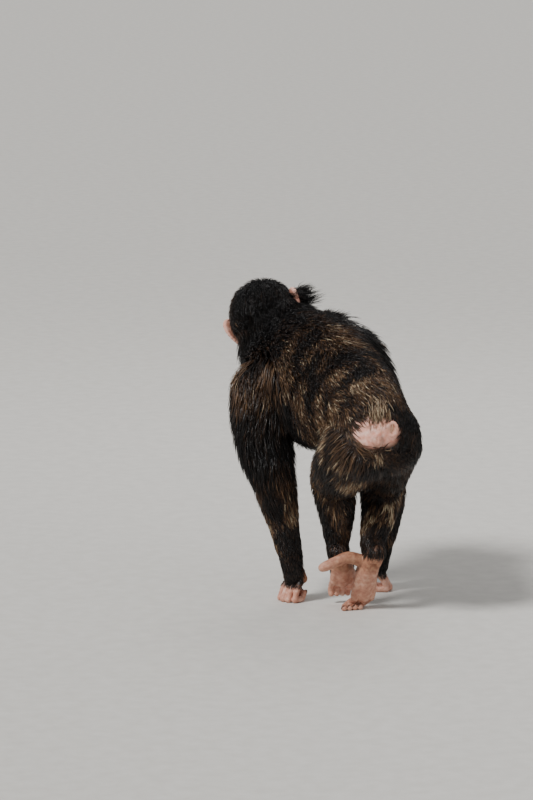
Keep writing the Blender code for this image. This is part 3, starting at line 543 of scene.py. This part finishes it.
EAR_ROOT = np.array((-0.006, 0.062, -0.004))
EAR_WIDE = 0.0225
EAR_TALL = 0.0325
EAR_RIM = 0.0030
EAR_GRAIN = 0.0009
for side, ear_name in ((1, "ear_left"), (-1, "ear_right")):
    clay = Clay((-0.016, -0.034, -0.042), (0.016, 0.046, 0.044), EAR_GRAIN)
    middle = np.array((0.001, 0.016, 0.002))
    clay.egg(middle, (0.0026, EAR_WIDE - 0.002, EAR_TALL - 0.002), 0.001)
    sweep = np.radians(np.arange(-80, 262, 15))
    fold = 0.0040 * np.sin(np.clip(sweep + math.radians(20), 0, math.pi))
    rim = middle + np.stack([fold, (EAR_WIDE - EAR_RIM) * np.cos(sweep),
                             (EAR_TALL - EAR_RIM) * np.sin(sweep)], -1)
    clay.chain(rim, EAR_RIM * (0.80 + 0.35 * np.clip(np.sin(sweep), 0, 1)), 0.0025)
    sweep = np.radians(np.arange(-50, 120, 15))
    ridge = middle + np.stack([0.0022 + 0 * sweep, 0.0125 * np.cos(sweep) - 0.001, 0.0185 * np.sin(sweep)], -1)
    clay.chain(ridge, np.full(len(ridge), 0.0022), 0.003)
    clay.egg(middle + (0.0052, -0.007, -0.003), (0.0050, 0.0085, 0.0110), 0.002, cut=True)
    clay.egg(middle + (0.0008, -0.004, -0.0260), (0.0032, 0.0080, 0.0068), 0.003)
    clay.chain(np.array(((0.002, 0.000, -0.010), (0.005, 0.001, -0.003), (0.003, 0.000, 0.004))),
               (0.0032, 0.0036, 0.0024), 0.003)
    clay.chain(np.array(((-0.008, -0.003, -0.004), (0.000, 0.006, -0.001))), (0.010, 0.0070), 0.003)
    clay.egg((0.0055, 0.0055, -0.002), (0.0050, 0.0045, 0.0065), 0.001, cut=True)
    points, quads = clay.surface()
    points[:, 1] *= side
    quads = quads if side > 0 else quads[:, ::-1]
    set_on = turned(side * 63, "Z") @ turned(-side * 20, "X")
    ear_points = from_head(points @ set_on.T + EAR_ROOT * (1, side, 1))
    rosy = 0.45 + 0.4 * eased((np.linalg.norm((points[:, 1:] * (side, 1) - middle[1:]) / (0.022, 0.032), axis=-1)
                               - 0.5) / 0.5)
    skin_piece(ear_name + "_skin", ear_points, quads, np.ones(len(points)), rosy, (ear_name,))

# --- The eyes -------------------------------------------------------------------------------------
# Wet glossy eyeballs behind the lids: an amber-brown iris, and a dark sclera, as chimpanzees have.
# Each is a ball turned round its line of sight, with a low bulge for the cornea.

# A film of tears gives the dark ball one sharp small highlight over the ring of the iris.
eye_material, eye_tree, eye_shader = new_material("wet_eyeball")
from_sight = add_node(eye_tree, "ShaderNodeAttribute", {"attribute_name": "from_sight"}).outputs["Fac"]
eye_tree.links.new(ramp(eye_tree, from_sight, ((0.00, "#050303"), (0.085, "#070404"), (0.105, "#6b3a16"),
                                                (0.17, "#4a250f"), (0.20, "#140a06"), (0.27, "#3a2317"),
                                                (0.50, "#5b3a2c"))), eye_shader.inputs["Base Color"])
eye_shader.inputs["Roughness"].default_value = 0.06
eye_shader.inputs["Coat Weight"].default_value = 1.0
eye_shader.inputs["Coat Roughness"].default_value = 0.03
across, around = np.meshgrid(np.linspace(0, math.pi, 41)[1:-1], np.linspace(0, 2 * math.pi, 48, endpoint=False),
                             indexing="ij")
bulge = EYE_RADIUS * (1 + 0.05 * np.exp(-(across / 0.45) ** 2))
ball = np.stack([bulge * np.cos(across), bulge * np.sin(across) * np.cos(around),
                 bulge * np.sin(across) * np.sin(around)], -1).reshape(-1, 3)
ball = np.vstack([ball, (EYE_RADIUS * 1.05, 0, 0), (-EYE_RADIUS, 0, 0)])
rows, columns = across.shape
i, j = np.meshgrid(np.arange(rows - 1), np.arange(columns), indexing="ij")
after = (j + 1) % columns
wall = np.stack([i * columns + j, (i + 1) * columns + j, (i + 1) * columns + after, i * columns + after], -1)
wall = wall.reshape(-1, 4)
ring = np.arange(columns)
front = np.stack([np.full(columns, rows * columns), ring, (ring + 1) % columns], -1)
last_row = (rows - 1) * columns
back = np.stack([np.full(columns, rows * columns + 1), last_row + (ring + 1) % columns, last_row + ring], -1)
eye_faces = np.vstack([wall[:, :3], wall[:, [0, 2, 3]], front, back])
for side, eye_name in ((1, "eye_left"), (-1, "eye_right")):
    eyeball = place_mesh(eye_name + "_ball", from_head(ball + EYE_PLACE * (1, side, 1)), eye_faces, eye_material)
    mark(eyeball, "from_sight", np.append(across.ravel(), (0, math.pi)) / math.pi)
    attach(eyeball, "root")
    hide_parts(eye_name)

# --- The hands ------------------------------------------------------------------------------------
# Long hands that stand on the middle joints of their folded fingers. The skin is bare and pink on the
# fingers and finely creased at each joint; the thumb is short and hangs beside the palm.

KNUCKLES = {"left": (0.266, 0.072), "right": (0.290, -0.124)}
HAND_BACK = (-0.35, 0.94)
FINGER_SPACING = 0.0130
FINGERS = ((0.000, 0.0072), (0.004, 0.0078), (0.003, 0.0076), (-0.003, 0.0068))
PALM_HEIGHT = 0.047
FINGER_REST = 0.0064
HAND_GRAIN = 0.0013
SKIN_OFF_FLOOR = 0.0002
UP = np.array((0.0, 0.0, 1.0))
nails = []


def way(forward, left, up=0.0):
    """A direction given forward, left and up, as a unit vector of the frame."""
    return unit(np.array((left, -forward, up), float))


def finger(clay, joints, radius, reach=0.0012):
    """A finger or toe through its joints: a little thinner between them and towards its tip."""
    share = np.arange(len(joints)) / (len(joints) - 1)
    curve, radii = bent([(p, radius * (1 - 0.18 * s)) for p, s in zip(joints, share)], 4)
    waist = 1 - 0.07 * np.sin(np.pi * (np.arange(len(radii)) / 4 % 1)) ** 2
    clay.chain(curve, radii * waist, reach)


hairy_ends = []
for side, hand_name in ((1, "left"), (-1, "right")):
    hand_back = way(HAND_BACK[0], side * HAND_BACK[1])
    thumb_way = way(HAND_BACK[1], -side * HAND_BACK[0])
    ground = at((*KNUCKLES[hand_name], 0.0))
    stations = LIMBS["arm_" + hand_name]
    top = at(stations[-1][0])
    clay = Clay(np.minimum(ground, top) - 0.062, np.maximum(ground, top) + (0.062, 0.062, 0.060), HAND_GRAIN)
    for index, (longer, radius) in enumerate(FINGERS):
        aside = thumb_way * (1.5 - index) * FINGER_SPACING
        root = ground + aside * 0.92 - hand_back * 0.006 + UP * PALM_HEIGHT
        knuckle = ground + aside + hand_back * (0.021 + longer) + UP * FINGER_REST
        fold_in = knuckle - hand_back * (0.023 + longer) + UP * 0.0004
        tip = fold_in - hand_back * 0.007 + UP * 0.012
        clay.chain(np.array((top + aside * 0.35, root)), (0.0125, 0.0098), 0.004)
        finger(clay, (root, (root + knuckle) / 2 + hand_back * 0.004, knuckle), radius)
        finger(clay, (knuckle, fold_in, tip), radius * 0.92)
        nails.append((tip + UP * 0.001, unit(UP - hand_back * 0.3), -hand_back, radius * 0.74))
    clay.egg(top * 0.64 + ground * 0.36, (0.017, 0.017, 0.024), 0.006)
    thumb_root = top - UP * 0.014 + thumb_way * 0.014 - hand_back * 0.006
    thumb_tip = thumb_root + thumb_way * 0.010 - hand_back * 0.012 - UP * 0.036
    finger(clay, (thumb_root, (thumb_root + thumb_tip) / 2 + thumb_way * 0.004, thumb_tip), 0.0072, 0.004)
    nails.append((thumb_tip, unit(thumb_tip - thumb_root), thumb_way * 0.9 + hand_back * 0.3, 0.0052))
    clay.chain(np.array((top + UP * 0.012, top - UP * 0.012)), (0.0180, 0.0172), 0.008)
    up_arm = at(stations[-1][0]) * 0.62 + at(stations[-2][0]) * 0.38
    clay.chain(np.array((up_arm, top)), (0.0195, 0.0182), 0.008)
    points, quads = clay.surface()
    points[:, 2] = np.maximum(points[:, 2], SKIN_OFF_FLOOR)
    out = dot(points - (top * 0.5 + ground * 0.5), hand_back)[:, 0]
    lowness = eased((0.040 - points[:, 2]) / 0.016)
    palm = eased((-0.002 - out) / 0.008)
    bare = np.maximum(lowness, palm * eased((0.105 - points[:, 2]) / 0.02))
    skin_piece("skin_hand_" + hand_name, points, quads, bare, 0.55 * lowness, ("hand_" + hand_name,))
    clay.ready()
    hairy_ends.append(("coat_hand_" + hand_name, clay, points, quads, 1 - bare, unit(ground - top)))

# --- The feet -------------------------------------------------------------------------------------
# Grasping feet with a raised heel, a great toe set off to the side, and bare creased soles. The right
# foot pushes off from its toes with its sole to the back; the left one swings forward.

# For each foot: heel, instep and ball; the great toe; the joints of the others from the ball; the way
# across it; and the ways that its back and its sole face.
FEET = {
    "left": ((((0.154, 0.024, 0.116), 0.0185), ((0.168, 0.010, 0.084), 0.0180), ((0.184, 0.002, 0.052), 0.0145)),
             (((0.172, 0.000, 0.080), 0.0120), ((0.186, -0.016, 0.064), 0.0105), ((0.196, -0.024, 0.048), 0.0098),
              ((0.201, -0.026, 0.035), 0.0088)),
             ((0.000, 0.000, 0.050), (0.017, -0.003, 0.042), (0.025, -0.004, 0.029), (0.023, -0.004, 0.020)),
             (-0.15, -1), way(0.7, -0.2, 0.6), way(-0.85, 0.2, -0.45)),
    "right": ((((0.090, -0.028, 0.124), 0.0190), ((0.114, -0.021, 0.084), 0.0195),
               ((0.140, -0.024, 0.028), 0.0155)),
              (((0.112, -0.010, 0.104), 0.0120), ((0.114, 0.020, 0.114), 0.0105), ((0.118, 0.046, 0.106), 0.0095),
               ((0.121, 0.074, 0.096), 0.0085)),
              ((0.000, 0.000, 0.022), (0.014, 0.004, 0.013), (0.010, 0.018, 0.0056), (-0.004, 0.026, 0.0050)),
              (0.05, 1), way(0.85, 0.1, 0.5), way(-0.88, 0, -0.45)),
}
TOE_SPACING = 0.0115
TOE_RADIUS = 0.0070

for foot_name, (stations, great_toe, toes, breadth, top_way, sole_way) in FEET.items():
    heel, instep, ball = (at(place) for place, _ in stations)
    across_foot = way(*breadth)
    ankle_stations = LIMBS["leg_" + foot_name]
    ankle = at(ankle_stations[-1][0])
    every = np.array([heel, instep, ball, ankle, *[at(place) for place, _ in great_toe]])
    clay = Clay(np.minimum(every.min(0) - 0.055, (9, 9, -0.02)), every.max(0) + 0.060, HAND_GRAIN)
    clay.chain(*[np.array(part) for part in ((heel, instep, ball), [radius for _, radius in stations])], 0.004)
    clay.chain(np.array((ankle, heel * 0.65 + instep * 0.35)), (0.0180, 0.0165), 0.010)
    shin = ankle * 0.66 + at(ankle_stations[-2][0]) * 0.34
    clay.chain(np.array((shin, ankle)), (0.0190, 0.0175), 0.008)
    for index in range(4):
        aside = across_foot * (1.5 - index) * TOE_SPACING
        curve = np.array((heel * 0.5 + instep * 0.5 + aside * 0.45, instep + aside * 0.7, ball + aside))
        clay.chain(curve, (0.0120, 0.0105, 0.0092), 0.004)
        start = np.array((ball[0], ball[1], 0.0)) + aside
        joints = [start + (left, -forward, up) for forward, left, up in toes]
        finger(clay, joints, TOE_RADIUS)
        nails.append((joints[-1], unit(joints[-1] - joints[-2]), top_way, TOE_RADIUS * 0.72))
    toe_curve, toe_radii = bent([(at(place), radius) for place, radius in great_toe], 4)
    clay.chain(toe_curve, toe_radii, 0.005)
    nails.append((toe_curve[-1], unit(toe_curve[-1] - toe_curve[-4]), top_way, 0.0062))
    clay.egg(heel * 0.35 + instep * 0.65 + sole_way * 0.020, (0.007, 0.007, 0.020), 0.008, cut=True)
    points, quads = clay.surface()
    points[:, 2] = np.maximum(points[:, 2], SKIN_OFF_FLOOR)
    sole = dot(points - (heel * 0.4 + instep * 0.6), sole_way)[:, 0]
    reach_toe = eased((heel[2] - 0.030 - points[:, 2]) / 0.020)
    off_side = np.exp(-(np.linalg.norm(points[:, None] - toe_curve[2:], axis=-1).min(1) / 0.026) ** 4)
    on_sole = eased((sole + 0.002) / 0.008) * eased((heel[2] + 0.004 - points[:, 2]) / 0.014)
    bare = np.maximum.reduce([on_sole, reach_toe, off_side])
    tip_near = np.exp(-(np.linalg.norm(points - toe_curve[-1], axis=-1) / 0.030) ** 2)
    rosy = 0.10 + 0.28 * reach_toe + 0.30 * tip_near
    skin_piece("skin_foot_" + foot_name, points, quads, np.maximum(bare, 0.2), rosy, ("foot_" + foot_name,))
    clay.ready()
    hairy_ends.append(("coat_foot_" + foot_name, clay, points, quads, 1 - bare, unit(ball - ankle)))

# --- The nails ------------------------------------------------------------------------------------
# Small dark horn plates, domed both ways, one on the back of the tip of each finger and toe.

# Worn horn is brown, a little cloudy, and shines softly along the dome of each nail.
horn, horn_tree, horn_shader = new_material("dark_horn_nail")
horn_place = add_node(horn_tree, "ShaderNodeTexCoord").outputs["Object"]
horn_grain = add_node(horn_tree, "ShaderNodeTexNoise", sockets={"Scale": 900.0}, links={"Vector": horn_place})
horn_tree.links.new(ramp(horn_tree, horn_grain.outputs["Fac"], ((0.3, "#3b2a22"), (0.7, "#6a4d3e"))),
                    horn_shader.inputs["Base Color"])
horn_shader.inputs["Roughness"].default_value = 0.35
NAIL_STEPS = 9
u, v = np.meshgrid(np.linspace(-1, 1, NAIL_STEPS), np.linspace(-1, 1, NAIL_STEPS), indexing="ij")
# A dome over a rounded square: height falls with the square of the distance from the middle.
plate_across, plate_along = u * np.sqrt(1 - v * v / 2), v * np.sqrt(1 - u * u / 2)
dome = 0.45 * (1 - 0.8 * plate_across ** 2 - 0.35 * plate_along ** 2)
shell = np.concatenate([np.stack([plate_across, plate_along, dome + lift], -1).reshape(-1, 3)
                        for lift in (0.35, 0.15)])
grid = np.arange(NAIL_STEPS * NAIL_STEPS).reshape(NAIL_STEPS, NAIL_STEPS)
cell = np.stack([grid[:-1, :-1], grid[1:, :-1], grid[1:, 1:], grid[:-1, 1:]], -1).reshape(-1, 4)
edge = np.concatenate([grid[:-1, 0], grid[-1, :-1], grid[:0:-1, -1], grid[0, :0:-1]])
under_layer = NAIL_STEPS * NAIL_STEPS
side_wall = np.stack([np.roll(edge, -1), edge, edge + under_layer, np.roll(edge, -1) + under_layer], -1)
nail_faces = np.concatenate([cell, cell[:, ::-1] + under_layer, side_wall[:, ::-1]])
every_nail, every_face = [], []
for number, (tip, along, outward, size) in enumerate(nails):
    outward = unit(outward - dot(outward, along) * along)
    axes = np.stack([np.cross(along, outward), along, outward]) * size
    every_nail.append(tip + outward * size * 0.35 + shell @ axes)
    every_face.append(nail_faces + number * len(shell))
nail_piece = place_mesh("nails", np.concatenate(every_nail), np.concatenate(every_face), horn)
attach(nail_piece, "root")

# --- The coat -------------------------------------------------------------------------------------
# Coarse straight hair, black to brown, with paler glints painted in as highlights of sunlit hair, long on
# shoulders, arms and back and short on crown, shins and hands. It lies from the nape to the tail and down
# each limb, in thin tapering tufts.

SEED = 7
ROOT_SUNK = 0.0015
LOWEST_HAIR = 0.004
TUFT_SHARES = (0.36, 0.34, 0.30)
TUFT_WIDTH = 0.0021
BAKE_PATCH = 0.003

# Coarse hair is black at the root and lighter towards the tip, with a dull sheen along each bundle. The
# paler browns of the ramp are painted highlights: glints of sunlit hair.
hair, hair_tree, hair_shader = new_material("coarse_black_hair")
brown_mark = add_node(hair_tree, "ShaderNodeAttribute", {"attribute_name": "brown"}).outputs["Fac"]
along_mark = add_node(hair_tree, "ShaderNodeAttribute", {"attribute_name": "along"}).outputs["Fac"]
strand_tone_and_glint = ramp(hair_tree, brown_mark, ((0.0, "#0b0a0b"), (0.30, "#1c1512"), (0.60, "#4a3425"),
                                           (0.84, "#8a6a4c"), (1.0, "#d6c3a3")))
root_dark = add_node(hair_tree, "ShaderNodeMapRange", sockets={"To Min": 0.55, "To Max": 1.12},
                     links={"Value": along_mark}).outputs["Result"]
hair_tree.links.new(blend(hair_tree, strand_tone_and_glint, root_dark, kind="MULTIPLY"), hair_shader.inputs["Base Color"])
hair_shader.inputs["Roughness"].default_value = 0.37
hair_shader.inputs["IOR"].default_value = 1.45

draw = np.random.default_rng(SEED)
WAVES = draw.normal(size=(3, 6, 3)) * 60
PHASES = draw.uniform(0, 2 * math.pi, size=(3, 6))


def rippled(points, finer=1.0):
    """A smooth wandering vector, about one long: each of its parts is the mean of six sines of the place."""
    return np.stack([np.sin(points @ (WAVES[k].T * finer) + PHASES[k]).mean(-1) * 1.8 for k in range(3)], -1)


def skin_under(points):
    """Distance to the skin and the way out of it, of the body or the head, whichever is nearer."""
    depth, away = body_clay.sample(points)
    own = to_head(points)
    inside = np.all((own > head_clay.low + 0.004) & (own < -head_clay.low - 0.004), axis=-1)
    if inside.any():
        head_depth, head_away = head_clay.sample(own[inside])
        nearer = head_depth < depth[inside]
        spots = np.flatnonzero(inside)[nearer]
        depth[spots] = head_depth[nearer]
        away[spots] = (head_away @ HEAD_TURN.T)[nearer]
    return depth, away


def along_line(points, stations):
    """Distance to a line of places, share of the way along it, its direction there and the nearest place."""
    line = at([place for place, _ in stations])
    starts, runs = line[:-1], np.diff(line, axis=0)
    lengths = np.linalg.norm(runs, axis=-1)
    gap = points[:, None] - starts
    share = np.clip((gap * runs).sum(-1) / lengths ** 2, 0, 1)
    nearest = starts + share[..., None] * runs
    away = np.linalg.norm(points[:, None] - nearest, axis=-1)
    pick = away.argmin(1)
    rows = np.arange(len(points))
    before = np.concatenate([[0], np.cumsum(lengths)[:-1]])
    travelled = (before[pick] + share[rows, pick] * lengths[pick]) / lengths.sum()
    soft = np.exp(-away / 0.020)[..., None]
    blended = unit((soft * (runs / lengths[:, None])).sum(1))
    return away[rows, pick], travelled, blended, nearest[rows, pick]


def scattered(points, quads, number):
    """Random places on quads: a quad is drawn by its area, then a place in it by two even shares."""
    a, b, c, d = (points[quads[:, k]] for k in range(4))
    area = np.linalg.norm(np.cross(c - a, d - b), axis=-1)
    pick = draw.choice(len(quads), number, p=area / area.sum())
    s, t = draw.uniform(size=(2, number, 1))
    return (a[pick] * (1 - s) + b[pick] * s) * (1 - t) + (d[pick] * (1 - s) + c[pick] * s) * t


CORNERS = np.radians((90, 210, 330))
TUFT_FACES = np.array([(0, 2, 1)]
                      + [face for r in (0, 3) for c in range(3) for n in [(c + 1) % 3]
                         for face in ((r + c, r + n, r + 3 + n), (r + c, r + 3 + n, r + 3 + c))]
                      + [(6 + c, 6 + (c + 1) % 3, 9) for c in range(3)])


def coat_piece(name, roots, flow, length, lift, brown, unwrap, hang, width=TUFT_WIDTH, hold=0.6, sway=0.26,
               stray=0.16, skin=skin_under):
    """Tufts of three-sided bars. From its root each takes three steps along the lie of the coat, a little
    downward and swayed with its neighbours, and after each step is set to its height above the skin."""
    count = len(roots)
    length, lift, width = (np.broadcast_to(value, count).astype(float) for value in (length, lift, width))
    length = length * draw.uniform(0.72, 1.22, count)
    lift = lift * draw.uniform(0.55, 1.30, count)
    width = width * draw.uniform(0.70, 1.35, count)
    own = draw.normal(size=(count, 3)) * stray
    _, out = skin(roots)
    place = roots - out * ROOT_SUNK
    centres, ways, outs = [place], [], []
    travelled = 0.0
    for share in TUFT_SHARES:
        travelled += share
        push = unit(flow) + own + rippled(place, 0.8) * sway + rippled(place, 2.6) * sway * 0.5 - UP * hang
        push = unit(push - dot(push, out) * out * 0.92)
        place = place + push * (share * length)[:, None]
        depth, new_out = skin(place)
        want = lift * travelled ** 0.75 * (1 + 0.5 * np.clip(-new_out[:, 2], 0, 1))
        short = want - depth
        place = place + new_out * (np.where(short > 0, short, short * hold))[:, None]
        place[:, 2] = np.maximum(place[:, 2], LOWEST_HAIR)
        ways.append(unit(place - centres[-1]))
        outs.append(out)
        centres.append(place)
        out = new_out
    rings = []
    roll = draw.uniform(-0.6, 0.6, count)
    for index, fullness in enumerate((0.80, 1.00, 0.70)):
        run = ways[index] if index == 0 else unit(ways[index - 1] + ways[index])
        across = unit(np.cross(outs[index], run) + 1e-9)
        deep = np.cross(run, across)
        for corner in CORNERS:
            side_way = across * np.cos(corner + roll)[:, None] + deep * (np.sin(corner + roll) * 0.75)[:, None]
            rings.append(centres[index] + side_way * (width * fullness * 0.5)[:, None])
    points = np.stack([*rings, centres[3]], 1).reshape(-1, 3)
    faces = (np.arange(count)[:, None, None] * 10 + TUFT_FACES).reshape(-1, 3)
    thing = place_mesh(name, points, faces, hair)
    mark(thing, "brown", np.repeat(np.clip(brown + draw.normal(size=count) * 0.15, 0, 1), 10))
    mark(thing, "along", np.tile(np.repeat((0, 0.35, 0.7, 1.0), (3, 3, 3, 1)), count))
    own_patch = np.array([(c / 3, r / 3) for r in range(3) for c in range(3)] + [(0.33, 1.0)]) * BAKE_PATCH
    spots = (np.clip(unwrap, 0, 0.996)[:, None] + own_patch).reshape(-1, 2)
    bake = thing.data.uv_layers.new(name="OFBake")
    bake.data.foreach_set("uv", spots[faces.ravel()].astype(np.float32).ravel())
    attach(thing, "root")
    return thing


# Each limb's coat: how many tufts, and along its line the length, the height of the tips and the brown. The
# brown carries painted glints, and on the right arm it is kept low as painted shade.
REGIONS = {
    "neck": (8200, (0, 1), (0.058, 0.062), (0.022, 0.024), (0.05, 0.16)),
    "trunk": (29500, (0, 0.25, 0.5, 0.75, 1), (0.064, 0.060, 0.054, 0.044, 0.034),
              (0.026, 0.024, 0.016, 0.009, 0.005), (0.38, 0.60, 0.66, 0.64, 0.58)),
    "arm_left": (10800, (0, 0.25, 0.5, 0.75, 1), (0.062, 0.062, 0.050, 0.026, 0.012),
                 (0.016, 0.015, 0.008, 0.002, 0.002), (0.50, 0.10, 0.40, 0.76, 0.50)),
    # Painted shade: the right arm has less brown than the left, as the side away from the key light.
    "arm_right": (10000, (0, 0.25, 0.5, 0.75, 1), (0.064, 0.062, 0.052, 0.028, 0.012),
                  (0.022, 0.020, 0.011, 0.004, 0.002), (0.06, 0.06, 0.20, 0.60, 0.50)),
    "leg_left": (8000, (0, 0.3, 0.55, 0.8, 1), (0.044, 0.042, 0.036, 0.026, 0.014),
                 (0.012, 0.011, 0.008, 0.004, 0.002), (0.72, 0.62, 0.58, 0.60, 0.36)),
    "leg_right": (8000, (0, 0.3, 0.55, 0.8, 1), (0.048, 0.044, 0.036, 0.024, 0.014),
                  (0.007, 0.008, 0.007, 0.004, 0.002), (0.46, 0.56, 0.74, 0.80, 0.44)),
}
COAT_END = {"arm": 0.064, "leg": 0.108}
PLACES_TRIED = 150000

spread = scattered(body_points, body_quads, PLACES_TRIED)
distances = np.stack([along_line(spread, LIMBS[name])[0] + (0.022 if name == "neck" else 0)
                      for name in REGIONS], 1)
nearest_region = distances.argmin(1)
in_head, _ = head_clay.sample(to_head(spread))
head_room = np.all(np.abs(to_head(spread)) < 0.10, axis=-1)
usable = ~((in_head < 0) & head_room) & (rump_share(spread) < draw.uniform(0.05, 0.75, len(spread)))
for index, (region, (number, marks, lengths, lifts, browns)) in enumerate(REGIONS.items()):
    roots = spread[usable & (nearest_region == index)][:number]
    _, share, flow, core = along_line(roots, LIMBS[region])
    if region == "trunk":
        # Over the shoulders and hips the hair turns from the back's line to the limb's.
        for limb_name in REGIONS:
            if limb_name not in ("trunk", "neck"):
                gap, _, limb_flow, _ = along_line(roots, LIMBS[limb_name])
                flow = flow + limb_flow * np.clip(1.3 - gap / 0.075, 0, 1)[:, None]
        flow = unit(flow)
    length = np.interp(share, marks, lengths)
    lift = np.interp(share, marks, lifts)
    brown = np.interp(share, marks, browns)
    spoke = unit(roots - core)
    # Painted highlights: glints of sunlit hair lie in bands along the coat, where the brown swells from a third
    # of its share to all of it and back.
    painted_glint_wave = rippled(roots, 1.3)[:, 0] * 0.75 + rippled(roots, 3.4)[:, 1] * 0.40
    # Painted shade: the trunk's brown is cut on its right side, away from the key light.
    shaded_right_side = np.clip(-(roots[:, 0] - 0.01) / 0.09, 0, 1)
    if region == "trunk":
        # Painted shade: the brown is also cut where the trunk faces down, underneath.
        low = np.clip(-spoke[:, 2], 0, 1)
        brown = brown - 0.30 * shaded_right_side - 0.20 * low
    brown = brown * (0.24 + 0.98 * eased(0.5 + painted_glint_wave))
    round_patch = np.exp(-(np.linalg.norm(roots - RUMP_PATCH - (0.020, 0, 0), axis=-1) / 0.075) ** 4)
    brown = np.maximum(brown, 0.66 * round_patch)
    if region[:3] in COAT_END:
        room = roots[:, 2] - COAT_END[region[:3]]
        kept = room > 0.004
        roots, flow, share, lift, brown, spoke = (a[kept] for a in (roots, flow, share, lift, brown, spoke))
        length = np.minimum(length[kept], room[kept] * 0.95 + 0.008)
    angle = np.arctan2(*(spoke[:, (0, 2)] if region in ("trunk", "neck") else spoke[:, (0, 1)]).T)
    unwrap = np.stack([angle / (2 * math.pi) + 0.5, share], -1)
    parts = 3 if region == "trunk" else 1
    cut = np.minimum((share * parts).astype(int), parts - 1)
    for part in range(parts):
        own = cut == part
        piece_name = "coat_" + (("chest", "belly", "pelvis")[part] if parts == 3 else region)
        coat_piece(piece_name, roots[own], flow[own], length[own], lift[own], brown[own], unwrap[own],
                   hang=0.18 if region == "trunk" else 0.36)

# The crown's hair is shorter and lies back and down; that of the cheeks is long and stands away.
HEAD_TUFTS = 11500
EAR_CLEAR = 0.010
head_roots = scattered(head_local, head_quads, HEAD_TUFTS * 3)
edge_gap = face_edge(head_roots)
in_body, _ = body_clay.sample(from_head(head_roots))
ear_gap = np.minimum(*[np.linalg.norm(head_roots - EAR_ROOT * (1, side, 1), axis=-1) for side in (1, -1)])
head_roots = head_roots[(edge_gap < draw.uniform(-0.006, 0.009, len(head_roots))) & (in_body > -0.004)
                        & (ear_gap > EAR_CLEAR)][:HEAD_TUFTS]
x, y, z = head_roots.T
side = np.sign(y)
cheek = eased((-0.004 - z) / 0.020) * eased((x + 0.040) / 0.02) * eased((np.abs(y) - 0.020) / 0.02)
behind_ear = np.exp(-((x + 0.030) / 0.016) ** 2 - ((z - 0.000) / 0.022) ** 2) * eased((np.abs(y) - 0.030) / 0.015)
crown = np.stack([-0.80 + 0 * x, 0.10 * side, -0.45 + 0 * x], -1)
cheek_flow = np.stack([-0.25 + 0 * x, 0.62 * side, -0.75 + 0 * x], -1)
head_flow = unit(crown * (1 - cheek)[:, None] + cheek_flow * cheek[:, None]) @ HEAD_TURN.T
fringe = eased((0.008 - face_edge(head_roots)) / 0.028)
head_length = (0.056 + 0.020 * cheek + 0.012 * behind_ear) * (0.24 + 0.76 * fringe)
head_lift = (0.015 + 0.013 * cheek + 0.010 * behind_ear) * (0.12 + 0.88 * fringe)
head_unwrap = np.stack([np.arctan2(y, x) / (2 * math.pi) + 0.5, np.arccos(unit(head_roots)[:, 2]) / math.pi], -1)
# The crown's brown rises and falls in long waves: partly a reddish tint, partly painted sheen along the strands.
head_brown = 0.17 + rippled(from_head(head_roots), 1.1)[:, 0] * 0.22
coat_piece("coat_head", from_head(head_roots), head_flow, head_length, head_lift, head_brown, head_unwrap,
           width=0.0018, hang=0.25, hold=0.5, sway=0.10, stray=0.08)

# In front of the right ear a long lock stands out past its rim, and another hangs from the left cheek.
LOCK_REACH = 0.024
LOCK_TUFTS = 420
for lock_name, start, heading, length, lift in (
        ("coat_ear_lock", (0.012, -0.050, 0.004), (-0.40, -1.0, -0.10), 0.064, 0.046),
        ("coat_cheek_lock", (-0.004, 0.048, -0.032), (-0.30, 0.50, -1.0), 0.060, 0.026)):
    lock_roots = head_roots[np.linalg.norm(head_roots - start, axis=-1) < LOCK_REACH][:LOCK_TUFTS]
    lock_count = len(lock_roots)
    coat_piece(lock_name, from_head(lock_roots), np.tile(HEAD_TURN @ heading, (lock_count, 1)), length, lift,
               np.full(lock_count, 0.08), draw.uniform(0.05, 0.95, (lock_count, 2)), width=0.0015, hang=0.10,
               hold=0.3, sway=0.10, stray=0.10)

# Short hair runs on over the backs of the hands and feet, and ends at the knuckles and the toes.
END_TUFTS = 1400
for piece_name, clay, points, quads, hairiness, heading in hairy_ends:
    roots = scattered(points, quads[hairiness[quads].mean(1) > 0.6], END_TUFTS)
    share = (roots[:, 2] - roots[:, 2].min()) / np.ptp(roots[:, 2])
    end_brown = 0.16 + 0.22 * share + rippled(roots, 2.0)[:, 0] * 0.15
    turn_round = np.arctan2(*(roots - roots.mean(0))[:, :2].T) / (2 * math.pi) + 0.5
    coat_piece(piece_name, roots, np.tile(heading, (len(roots), 1)), 0.009 + 0.014 * share,
               0.0012 + 0.0035 * share, end_brown, np.stack([turn_round, share], -1), width=0.0015,
               hang=0.15, sway=0.15, skin=clay.sample)

# Pale hairs stand up from the tail's root, and a few hang below the bare patch.
for piece_name, (right, up), heading, number, length, reach in (
        ("coat_tail_tuft", (-0.006, -0.018), (0.10, 0.1, 1.0), 130, 0.031, 0.012),
        ("coat_under_tuft", (-0.011, -0.078), (0.0, 0.2, -1.0), 55, 0.024, 0.005)):
    roots = onto_skin(right, up) + draw.normal(size=(number, 3)) * reach
    depth, out = body_clay.sample(roots)
    roots = roots - out * depth[:, None]
    coat_piece(piece_name, roots, np.tile(heading, (number, 1)), length, 0.012, np.full(number, 0.82),
               draw.uniform(0.05, 0.95, (number, 2)), width=0.0011, hang=0.0, hold=0.2, sway=0.12,
               skin=body_clay.sample)
